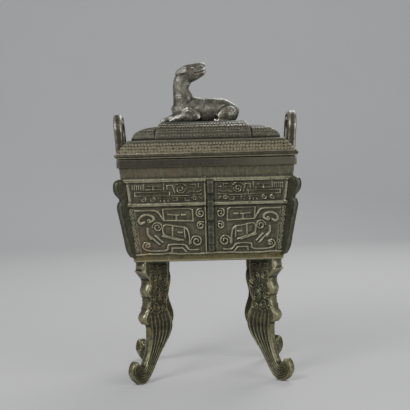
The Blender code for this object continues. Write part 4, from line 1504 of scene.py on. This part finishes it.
@dataclass
class Cover:
    """The stepped lid. All sizes are in millimetres."""

    half: tuple[float, float] = (90.65, 73.4)
    bottom: float = 228.0
    edge_bottom: float = 229.9
    edge_top: float = 232.6
    undercut: float = 3.5
    step_in: float = 1.2
    shoulder_inset: float = 13.3
    shoulder: float = 246.1
    ledge_inset: float = 16.3
    mound_rise: float = 13.5
    mound_run: float = 25.65
    platform_foot: tuple[float, float] = (48.0, 58.6)
    platform_top: tuple[float, float] = (42.5, 32.0)
    platform_offset: float = -2.5
    top: float = 264.7
    wall: float = 4.0
    notch_inner: float = 82.05
    notch_half: float = 25.2
    mouth_half: tuple[float, float] = (82.05, 64.8)
    lip_clearance: float = 0.9
    lip_thickness: float = 3.0
    lip_depth: float = 6.0

    def inset(self, x: np.ndarray, y: np.ndarray) -> np.ndarray:
        """How far each place of the plan lies in from the lid's edge."""
        return np.minimum(self.half[0] - np.abs(x), self.half[1] - np.abs(y))

    def tiers(self, x: np.ndarray, y: np.ndarray) -> np.ndarray:
        """Height of the lid's outside over its plan."""
        inset = self.inset(x, y)
        base = np.interp(
            inset, [self.step_in, self.shoulder_inset, self.ledge_inset],
            [self.edge_top, self.shoulder, self.shoulder + 0.5])
        turn = 1 - np.clip((inset - self.ledge_inset) / self.mound_run, 0.0, 1.0)
        base = base + self.mound_rise * np.sqrt(1 - turn * turn)
        along = np.abs(x - self.platform_offset)
        share = np.minimum(
            (self.platform_foot[0] - along) / (self.platform_foot[0] - self.platform_top[0]),
            (self.platform_foot[1] - np.abs(y)) / (self.platform_foot[1] - self.platform_top[1]))
        platform = np.interp(
            share, [0.0, 0.12, 0.30, 0.60, 0.90, 1.0],
            [self.shoulder + 1.4, 254.5, 259.1, 262.5, self.top - 0.8, self.top])
        return np.where(share >= 0, np.maximum(base, platform), base)

    def hollow(self, x: np.ndarray, y: np.ndarray) -> np.ndarray:
        """Height of the lid's underside over its plan."""
        inset = self.inset(x, y)
        under = np.interp(
            inset, [12.3, 12.6, 15.3, 31.8, 49.95], [self.bottom + 0.4, 232.6, 242.1, 252.1, 256.1])
        inside = (np.abs(x - self.platform_offset) < 38.5) & (np.abs(y) < 28.0)
        return np.where(inside, self.top - self.wall, under)

    def spot(self, x: float, y: float) -> tuple[np.ndarray, np.ndarray]:
        """Finds a place just above the lid's outside.

        Args:
            x: How far along the lid it lies.
            y: How far across the lid it lies.

        Returns:
            The place and the outward direction there.
        """
        reach = 0.4
        z = self.tiers(
            x + reach * np.array([0, 1, -1, 0, 0]), y + reach * np.array([0, 0, 0, 1, -1]))
        normal = np.array([z[2] - z[1], z[4] - z[3], 2 * reach])
        normal /= np.linalg.norm(normal)
        return np.array([x, y, z[0]]) + 0.2 * normal, normal

    def relief(self, x: np.ndarray, y: np.ndarray, z: np.ndarray, grain: Grain) -> np.ndarray:
        """Fine unevenness of the lid's outside, along its normal."""
        places = np.column_stack((x, y, z))
        crust = 0.22 * grain.at(places, 2.4) + 0.12 * grain.at(places, 1.1)
        waves = 0.3 * grain.at(places, 11.0)
        inset = self.inset(x, y)
        crusted = band(inset, 2.0, 9.0, 1.5)
        lines = 0.55 * band(inset, 2.0, 2.8, 0.5) + 0.5 * band(inset, 12.0, 13.4, 0.6)
        return waves + crust * (0.45 + 0.9 * crusted) + lines

    def mesh(self, grain: Grain) -> bpy.types.Mesh:
        """Builds the lid's stepped shell with its hollow underside and handle notches."""
        step = 4
        x_lines = graded(
            [-89.45, -82.05, -75.0, -70.0, -51.2, -44.2, 39.2, 46.4, 70.0, 75.0, 82.05, 89.45],
            [0.7, 0.8, 0.4, 0.85, 0.45, 0.9, 0.45, 0.85, 0.4, 0.8, 0.7], step)
        y_lines = graded(
            [-72.2, -59.4, -55.0, -31.0, -25.2, 25.2, 31.0, 55.0, 59.4, 72.2],
            [0.55, 0.38, 0.7, 0.7, 1.1, 0.8, 0.8, 0.45, 0.75], step)
        x, y = np.meshgrid(x_lines, y_lines, indexing="ij")
        z = self.tiers(x, y)
        slope_x = np.gradient(z, x_lines, axis=0)
        slope_y = np.gradient(z, y_lines, axis=1)
        size = np.sqrt(1 + slope_x ** 2 + slope_y ** 2)
        out = self.relief(x.ravel(), y.ravel(), z.ravel(), grain).reshape(x.shape)
        inset = self.inset(x, y)
        out = out * eased((inset - self.step_in) / 1.0)
        upper = np.stack((x - slope_x / size * out, y - slope_y / size * out, z + out / size), -1)
        xc, yc = x[::step, ::step], y[::step, ::step]
        under = np.stack((xc, yc, self.hollow(xc, yc)), -1)
        keep = ~((np.abs(cell_middles(x_lines, step))[:, None] > self.notch_inner)
                 & (np.abs(cell_middles(y_lines, step))[None, :] < self.notch_half))
        points, faces = slab(upper, under, step, keep)
        return mesh_of("lid_shell", points, faces)

    def edge_mesh(self, grain: Grain) -> bpy.types.Mesh:
        """Builds the lid's rounded edge band, parted by the handle notches."""
        profile = densified(np.array([
            (8.6, self.bottom + 0.3), (self.undercut, self.bottom),
            (self.undercut - 0.3, self.edge_bottom - 0.3), (0.6, self.edge_bottom - 0.1),
            (0.0, self.edge_bottom + 0.5), (0.0, self.edge_top - 1.0),
            (0.3, self.edge_top - 0.35), (self.step_in, self.edge_top),
            (3.0, self.edge_top + 0.8), (8.6, self.edge_top + 4.6)]), 0.8)
        points, faces = ring_sweep(self.half, profile, 2.0, self.notch_half, 2.0)
        shift = 0.14 * grain.at(points, 5.0) + 0.06 * grain.at(points, 1.6)
        shift += 0.28 * grain.at(points, 34.0)
        points[:, 2] += shift * (points[:, 2] > self.bottom + 0.6)
        return mesh_of("lid_edge", points, faces)

    def lip_mesh(self) -> bpy.types.Mesh:
        """Builds the locating lip below the lid."""
        half = (self.mouth_half[0] - self.lip_clearance, self.mouth_half[1] - self.lip_clearance)
        profile = rounded_box(
            self.lip_thickness, self.bottom - self.lip_depth, self.edge_top, 0.7, 6)
        points, faces = ring_sweep(half, profile, 1.0, spacing=4.0)
        return mesh_of("lid_lip", points, faces)


# Deer


@dataclass
class Deer:
    """The deer that lies on the lid with its legs folded. Its grid is 60 units high."""

    height: float = 63.5
    grid: float = 60.0
    base: float = 264.7
    voxel: float = 0.68

    def limb(self, sections: Sequence[Section], sides: int = 20) -> bpy.types.Mesh:
        """Builds a form of oval sections along a spine.

        Args:
            sections: Place (along, across, up), half width across and half depth, of each.
            sides: Points round a section.

        Returns:
            The closed form.
        """
        rows = smooth_path(sections, 4)
        spine = rows[:, :3]
        points = []
        for index, row in enumerate(rows):
            tangent = spine[min(index + 1, len(rows) - 1)] - spine[max(index - 1, 0)]
            tangent /= np.linalg.norm(tangent)
            upward = np.array([-tangent[2], 0.0, tangent[0]])
            upward /= np.linalg.norm(upward)
            across = np.cross(tangent, upward)
            across /= np.linalg.norm(across)
            for side in range(sides):
                angle = math.tau * (side + 0.5) / sides
                points.append(
                    spine[index] + across * max(row[3], 0.3) * math.cos(angle)
                    + upward * max(row[4], 0.3) * math.sin(angle))
        faces: Faces = []
        for index in range(len(rows) - 1):
            for side in range(sides):
                after = (side + 1) % sides
                faces.append((index * sides + side, index * sides + after,
                              (index + 1) * sides + after, (index + 1) * sides + side))
        faces.append(tuple(range(sides)))
        faces.append(tuple((len(rows) - 1) * sides + side for side in reversed(range(sides))))
        placed = np.array(points) * (self.height / self.grid) + (0.0, 0.0, self.base)
        return mesh_of("limb", placed, faces)

    def forms(self) -> list[bpy.types.Mesh]:
        """The deer's body, neck, head, ears and folded legs."""
        made = [
            self.limb([
                (-32, 0, 9.0, 4.0, 5.0), (-29, 0, 9.8, 7.6, 8.6), (-23, 0, 10.4, 9.6, 11.6),
                (-12, 0, 11.6, 10.4, 12.8), (2, 0, 11.2, 10.8, 12.7), (15, 0, 10.8, 11.2, 12.5),
                (22, 0, 9.6, 10.6, 11.4), (27.6, 0, 7.6, 8.8, 9.4), (31.4, 0, 5.6, 5.6, 6.8),
                (33.0, 0, 4.8, 2.4, 3.2)]),
            self.limb([
                (-19.5, 0, 10, 8.8, 12.0), (-19.8, 0, 17, 8.2, 11.6), (-20.9, 0, 24, 7.4, 10.4),
                (-22.6, 0, 30, 6.6, 8.7), (-23.3, 0, 35, 6.1, 8.0), (-21.5, 0, 40.5, 5.8, 8.8),
                (-18.0, 0, 46, 5.4, 8.0)]),
            self.limb([
                (-17.0, 0, 15.0, 7.0, 9.6), (-11.5, 0, 17.6, 7.0, 8.2), (-5.0, 0, 15.6, 7.0, 8.6),
                (2.0, 0, 13.4, 7.0, 9.0)]),
            self.limb([
                (-26.2, 0, 45.0, 2.6, 3.2), (-24.0, 0, 46.5, 5.2, 6.0), (-18.0, 0, 47.6, 6.2, 8.8),
                (-11.5, 0, 49.2, 5.6, 9.0), (-5.5, 0, 51.2, 4.3, 7.6), (-0.5, 0, 52.8, 3.9, 6.4),
                (2.2, 0, 53.2, 2.6, 4.2)])]
        forelegs = {
            -1: [(-8, -8.4, 5.4, 3.4, 4.8), (-20, -8.6, 6.0, 3.2, 5.2),
                 (-28, -7.4, 3.8, 2.8, 3.8), (-35, -6.4, 1.2, 2.2, 2.0)],
            1: [(-10, 6.0, 6.0, 3.4, 5.0), (-27, 6.4, 5.5, 3.0, 5.0),
                (-36, 6.2, 3.2, 2.6, 3.6), (-44, 6.0, 1.2, 2.0, 2.0)]}
        for side in (-1, 1):
            made.append(self.limb([
                (-17.0, side * 4.4, 52.0, 1.5, 2.2), (-20.4, side * 6.6, 50.8, 1.5, 3.2),
                (-25.8, side * 8.8, 48.2, 0.6, 1.0)]))
            made.append(self.limb(forelegs[side]))
            made.append(self.limb([
                (-24.0, side * 6.4, 8.0, 3.0, 3.4), (-17.0, side * 8.2, 10.6, 3.4, 5.6),
                (-9.0, side * 9.4, 6.6, 3.0, 5.0), (-6.0, side * 9.6, 2.8, 2.2, 2.6)]))
            made.append(self.limb([
                (29.8, side * 6.0, 5.4, 3.0, 4.6), (25.4, side * 8.0, 6.8, 5.0, 8.2),
                (19.0, side * 8.8, 6.2, 4.8, 7.4), (13.0, side * 9.6, 3.2, 3.2, 4.4)]))
            made.append(self.limb([
                (23.0, side * 10.4, 1.4, 2.2, 2.6), (14.0, side * 10.8, 1.2, 2.0, 2.2),
                (9.0, side * 10.4, 1.0, 1.5, 1.8)]))
            eye_size = 1.3
            made.append(self.limb([
                (-12.6, side * 4.9, 53.4, 0.5, 0.5), (-11.9, side * 5.0, 53.4, eye_size, 1.1),
                (-10.2, side * 5.0, 53.2, eye_size, 1.1), (-9.4, side * 4.9, 53.0, 0.5, 0.5)]))
        return made

    def mesh(self, grain: Grain) -> bpy.types.Mesh:
        """Builds the deer as one skin, with its face, haunch and foreleg lines cut in."""
        skin = skinned(merged(self.forms()), self.voxel, 5)
        points, facing = coordinates(skin), normals(skin)
        scale = self.height / self.grid
        flat = np.column_stack((points[:, 0], points[:, 2] - self.base)) / scale
        carving = Carving(flat)
        head = flat[:, 1] > 40.0
        carving.groove(smooth_path([(1.8, 51.0), (-3.6, 49.4), (-9.6, 48.2)], 5), 0.5, 0.9, 0.4)
        carving.groove(smooth_path([(-0.4, 56.6), (0.8, 55.4), (0.0, 54.6)], 5), 0.5, 0.8, 0.4)
        carving.groove(spiral((-11.0, 53.3), 2.6, 1.0, 0), 0.4, 0.55, 0.35)
        face_lines = carving.height * head
        carving = Carving(flat)
        carving.groove(smooth_path([(12.0, 1.5), (12.4, 7.0), (16.0, 13.0), (21.0, 15.6)], 6),
                       0.7, 0.75, 0.8)
        carving.groove(smooth_path([(-8.0, 3.4), (-10.2, 9.6), (-15.6, 12.6), (-20.6, 10.6)], 5),
                       0.6, 0.4, 0.9)
        depth = (face_lines + carving.height * ~head) * side_share(facing, 0.25, 1) * scale
        lumps = 0.34 * grain.at(points, 5.6) + 0.13 * grain.at(points, 2.3)
        points += facing * (
            depth + lumps * np.where(head, 0.6, 1.0) + 0.05 * grain.at(points, 1.5))[:, None]
        points[:, 2] = np.maximum(points[:, 2], self.base - 1.0)
        move_points(skin, points)
        return skin


# Rows of small scrolls


@dataclass
class HookRows:
    """Rows of small raised scrolls that fill a narrow strip of a surface.

    Lengths are in millimetres: the size is a scroll's radius, the thickness its line's radius and
    the pitch the distance from one scroll to the next.
    """

    patina: bpy.types.Material
    size: float
    thickness: float
    pitch: float
    tree: bpy.types.NodeTree = field(init=False)
    sockets: dict[str, str] = field(init=False)

    def __post_init__(self) -> None:
        """Builds the node tree once for all rows."""
        self.tree = bpy.data.node_groups.new("hook_row", "GeometryNodeTree")
        face = self.tree.interface
        self.sockets = {}
        for name, kind in (
                ("Start", "NodeSocketVector"), ("End", "NodeSocketVector"),
                ("Count", "NodeSocketInt"), ("Size", "NodeSocketFloat"),
                ("Thickness", "NodeSocketFloat"), ("Turn", "NodeSocketRotation"),
                ("Half Turns", "NodeSocketFloat"), ("Finish", "NodeSocketMaterial")):
            made = face.new_socket(name=name, in_out="INPUT", socket_type=kind)
            self.sockets[name] = made.identifier
        face.new_socket(name="Geometry", in_out="OUTPUT", socket_type="NodeSocketGeometry")
        given = self.tree.nodes.new("NodeGroupInput").outputs

        def add(kind: str, inputs: dict, **settings: object) -> bpy.types.NodeSocket:
            """Adds a node and returns its first output."""
            return add_node(self.tree, kind, settings, inputs).outputs[0]

        row = add("GeometryNodeMeshLine", {
            "Count": given["Count"], "Start Location": given["Start"], "Offset": given["End"]},
            mode="END_POINTS")
        core = add("ShaderNodeMath", {0: given["Size"], 1: 0.3}, operation="MULTIPLY")
        scroll = add("GeometryNodeCurveSpiral", {
            "Resolution": 9, "Rotations": 1.25, "Height": 0.0, "Start Radius": core,
            "End Radius": given["Size"]})
        wire = add("GeometryNodeCurvePrimitiveCircle", {
            "Resolution": 6, "Radius": given["Thickness"]})
        tube = add("GeometryNodeCurveToMesh", {
            "Fill Caps": True, "Curve": scroll, "Profile Curve": wire})
        placed = add("GeometryNodeInstanceOnPoints", {
            "Points": row, "Instance": tube, "Rotation": given["Turn"]})
        angle = add("ShaderNodeMath", {
            0: add("GeometryNodeInputIndex", {}), 1: given["Half Turns"]}, operation="MULTIPLY")
        euler = add("ShaderNodeCombineXYZ", {"Z": angle})
        spun = add("GeometryNodeRotateInstances", {"Instances": placed, "Rotation": euler})
        real = add("GeometryNodeRealizeInstances", {0: spun})
        finish = add("GeometryNodeSetMaterial", {"Geometry": real, "Material": given["Finish"]})
        add_node(self.tree, "NodeGroupOutput", {}, {0: finish})

    def row(self, start: np.ndarray, end: np.ndarray, normal: np.ndarray) -> bpy.types.Mesh:
        """Builds one row.

        Args:
            start: Place of its first scroll in millimetres.
            end: Place of its last.
            normal: Outward direction of the surface.

        Returns:
            The row as a plain mesh.
        """
        run = end - start
        count = max(2, round(float(np.linalg.norm(run)) / self.pitch) + 1)
        along = Vector(run).normalized()
        out = (Vector(normal) - along * Vector(normal).dot(along)).normalized()
        turn = Matrix((along, out.cross(along), out)).transposed().to_quaternion()
        item = new_item("hook_row", bpy.data.meshes.new("hook_row"))
        modifier = item.modifiers.new("row", "NODES")
        modifier.node_group = self.tree
        for name, value in (
                ("Start", tuple(start * MM)), ("End", tuple(end * MM)), ("Count", count),
                ("Size", self.size * MM), ("Thickness", self.thickness * MM),
                ("Turn", tuple(turn.to_euler())), ("Half Turns", math.pi * 0.5),
                ("Finish", self.patina)):
            modifier[self.sockets[name]] = value
        return evaluated_mesh(item)

    def on_lid(self, cover: Cover, start: tuple[float, float],
               end: tuple[float, float]) -> bpy.types.Mesh:
        """Builds a row between two places of the lid's plan."""
        place, normal = cover.spot(*start)
        return self.row(place, cover.spot(*end)[0], normal)


# The whole object


@dataclass
class Ding:
    """The covered vessel with all its pieces.

    The mitre is how far the lid's rows of scrolls end before its corners, in millimetres.
    """

    mitre: float = 2.6
    body: Body = field(default_factory=Body)
    cover: Cover = field(default_factory=Cover)
    leg: Leg = field(default_factory=Leg)
    handle: Handle = field(default_factory=Handle)
    deer: Deer = field(default_factory=Deer)

    def build_vessel(self) -> None:
        """Builds and dresses the walls, rim, floor, flanges, legs and handles."""
        grain = Grain(11)
        walls = WALL_PATINA.build()
        for face, cell in ((Face.FRONT, 0.5), (Face.RIGHT, 0.8), (Face.BACK, 0.8),
                           (Face.LEFT, 0.8)):
            dress(f"wall_{face.name.lower()}", self.body.wall_mesh(face, cell, grain), walls,
                  Holder.VESSEL, cell)
        dress("vessel_floor", self.body.floor_mesh(grain), walls, Holder.VESSEL, 1.8)
        dress("vessel_rim", self.body.rim_mesh(grain), RIM_PATINA.build(), Holder.VESSEL, 1.1)
        flanges = Flanges(self.body)
        for build, finish, voxel in (
                (flanges.corner_meshes, CORNER_PATINA, flanges.voxel),
                (flanges.centre_meshes, FLANGE_PATINA, flanges.voxel),
                (self.leg.meshes, LEG_PATINA, self.leg.voxel),
                (self.handle.meshes, HANDLE_PATINA, self.handle.voxel)):
            patina = finish.build()
            for name, mesh in build(grain):
                dress(name, mesh, patina, Holder.VESSEL, voxel)
        self.border_hooks(walls)

    def border_hooks(self, patina: bpy.types.Material) -> None:
        """Fills the strips beside the corners of each wall with small scrolls."""
        rows = HookRows(patina, 1.95, 0.62, 4.3)
        for face in Face:
            strips = []
            for side in (-1, 1):
                z = np.array([self.body.mask_low + 3.0, self.body.mask_high - 3.0])
                along = side * (self.body.lengths(face, z)[0] - 5.4)
                ends = self.body.on_wall(face, along, z, np.array([0.3, 0.3]))
                strips.append(rows.row(ends[0], ends[1], np.array((*face.value[1], -0.13))))
            dress(f"border_scrolls_{face.name.lower()}", merged(strips), patina, Holder.VESSEL)

    def build_lid(self) -> None:
        """Builds and dresses the lid, its edge, its lip, its scroll rows and the deer."""
        grain = Grain(23)
        patina = LID_PATINA.build()
        dress("lid_shell", self.cover.mesh(grain), patina, Holder.LID, 0.65)
        dress("lid_edge", self.cover.edge_mesh(grain), LID_EDGE_PATINA.build(), Holder.LID, 1.0)
        dress("lid_lip", self.cover.lip_mesh(), patina, Holder.LID, 1.2)
        dress("deer", self.deer.mesh(grain), DEER_PATINA.build(), Holder.LID, self.deer.voxel)
        self.slope_hooks(SLOPE_SCROLL_PATINA.build())
        self.crown_hooks(CROWN_SCROLL_PATINA.build())

    def slope_hooks(self, patina: bpy.types.Material) -> None:
        """Lays rows of small scrolls on the lid's slope."""
        rows = HookRows(patina, 1.25, 0.5, 3.1)
        cover = self.cover
        strips = []
        for inset in (3.9, 6.7, 9.5):
            half_x, half_y = cover.half[0] - inset, cover.half[1] - inset
            for way in (-1, 1):
                x, y = half_x - self.mitre, way * half_y
                strips.append(rows.on_lid(cover, (-x, y), (x, y)))
                for side in (-1, 1):
                    strips.append(rows.on_lid(
                        cover, (way * half_x, side * (half_y - self.mitre)),
                        (way * half_x, side * (cover.notch_half + 3.0))))
        dress("slope_scrolls", merged(strips), patina, Holder.LID)

    def crown_hooks(self, patina: bpy.types.Material) -> None:
        """Lays rows of small scrolls on the long sides of the platform and the mounds."""
        rows = HookRows(patina, 1.2, 0.42, 3.0)
        cover = self.cover
        strips = []
        foot, top, middle = cover.platform_foot, cover.platform_top, cover.platform_offset
        for way, shares in ((-1, (0.05, 0.19, 0.33, 0.52)), (1, (0.08, 0.30))):
            for share in shares:
                y = way * (foot[1] - share * (foot[1] - top[1]))
                half = foot[0] - share * (foot[0] - top[0]) - 2.4
                strips.append(rows.on_lid(cover, (middle - half, y), (middle + half, y)))
            for inset in (17.4, 20.0, 23.8):
                y = way * (cover.half[1] - inset)
                outer = cover.half[0] - inset - self.mitre
                for near, far in ((-52.8, -outer), (47.8, outer)):
                    strips.append(rows.on_lid(cover, (near, y), (far, y)))
        dress("crown_scrolls", merged(strips), patina, Holder.LID)


# Stage


@dataclass(frozen=True)
class Viewpoint:
    """The camera, from the photograph's viewing angle. Lengths are in millimetres."""

    target: tuple[float, float, float] = (0.0, 0.0, 163.0)
    distance: float = 1000.0
    yaw: float = 0.71
    pitch: float = 4.22
    roll: float = -1.39
    focal_pixels: float = 941.0
    middle: tuple[float, float] = (207.1, 218.2)
    frame_pixels: float = 410.0
    sensor: float = 36.0

    def place(self) -> None:
        """Creates the camera and makes it the scene's."""
        yaw, pitch, roll = (math.radians(a) for a in (self.yaw, self.pitch, self.roll))
        ahead = Vector((math.sin(yaw) * math.cos(pitch), math.cos(yaw) * math.cos(pitch),
                        -math.sin(pitch)))
        right = ahead.cross(Vector((0, 0, 1))).normalized()
        up = right.cross(ahead)
        turned = right * math.cos(roll) + up * math.sin(roll)
        raised = up * math.cos(roll) - right * math.sin(roll)
        data = bpy.data.cameras.new("camera")
        data.sensor_width = self.sensor
        data.lens = self.focal_pixels / self.frame_pixels * self.sensor
        data.shift_x = 0.5 - self.middle[0] / self.frame_pixels
        data.shift_y = self.middle[1] / self.frame_pixels - 0.5
        camera = new_item("camera", data)
        place = (Vector(self.target) - ahead * self.distance) * MM
        turn = Matrix((turned, raised, -ahead)).transposed().to_4x4()
        camera.matrix_world = Matrix.Translation(place) @ turn
        bpy.context.scene.camera = camera


@dataclass(frozen=True)
class Studio:
    """A pale floor that sweeps up behind the object, and soft lamps."""

    floor_colour: Colour = (0.62, 0.62, 0.62)
    world_strength: float = 0.55

    def build(self) -> None:
        """Makes the floor, the lamps and the world's light."""
        self.floor()
        self.lamp("key_lamp", (-0.75, -0.95, 0.95), 12.0, 0.55)
        self.lamp("fill_lamp", (0.95, -0.75, 0.55), 6.0, 0.7)
        self.lamp("back_lamp", (0.35, 0.9, 0.95), 8.0, 0.6)
        world = bpy.data.worlds.new("studio")
        world.use_nodes = True
        background = world.node_tree.nodes["Background"]
        background.inputs["Color"].default_value = (0.80, 0.82, 0.85, 1.0)
        background.inputs["Strength"].default_value = self.world_strength
        bpy.context.scene.world = world

    def floor(self) -> None:
        """Makes the floor and backdrop as one bent sheet."""
        width, front, back, bend, top = 4.0, -2.5, 1.3, 0.5, 3.0
        profile = [(front, 0.0), (back, 0.0)]
        profile += [
            (back + bend * math.sin(a), bend * (1 - math.cos(a)))
            for a in np.radians(np.linspace(5, 90, 18))]
        profile.append((back + bend, top))
        points = [(x, y, z) for y, z in profile for x in (-width, width)]
        faces = [(2 * k, 2 * k + 1, 2 * k + 3, 2 * k + 2) for k in range(len(profile) - 1)]
        mesh = bpy.data.meshes.new("floor")
        mesh.from_pydata(points, [], faces)
        mesh.shade_smooth()
        material = bpy.data.materials.new("floor_paper")
        board = Board(material)
        tint = board.noise(180.0, 3.0).span(0.3, 0.7)
        colour = board.mix(tint * 0.25, rgba(self.floor_colour), rgba(
            tuple(c * 0.93 for c in self.floor_colour)))
        board.shade("Base Color", colour)
        board.shade("Roughness", 0.85)
        mesh.materials.append(material)
        sheet = new_item("floor", mesh)

    def lamp(self, name: str, place: tuple[float, float, float], power: float,
             size: float) -> None:
        """Adds a soft square lamp that faces the object.

        Args:
            name: The lamp's name.
            place: Where it hangs, in metres.
            power: Its power in watts.
            size: The length of its side.
        """
        data = bpy.data.lights.new(name, "AREA")
        data.energy = power
        data.size = size
        lamp = new_item(name, data)
        lamp.location = place
        aim = Vector((0.0, 0.0, 0.17)) - Vector(place)
        lamp.rotation_mode = "QUATERNION"
        lamp.rotation_quaternion = aim.to_track_quat("-Z", "Y")


def main() -> None:
    """Builds the camera, the stage and the object."""
    logging.basicConfig(level=logging.INFO, format="%(name)s: %(message)s")
    Viewpoint().place()
    Studio().build()
    ding = Ding()
    ding.build_vessel()
    ding.build_lid()


if __name__ == "__main__":
    main()
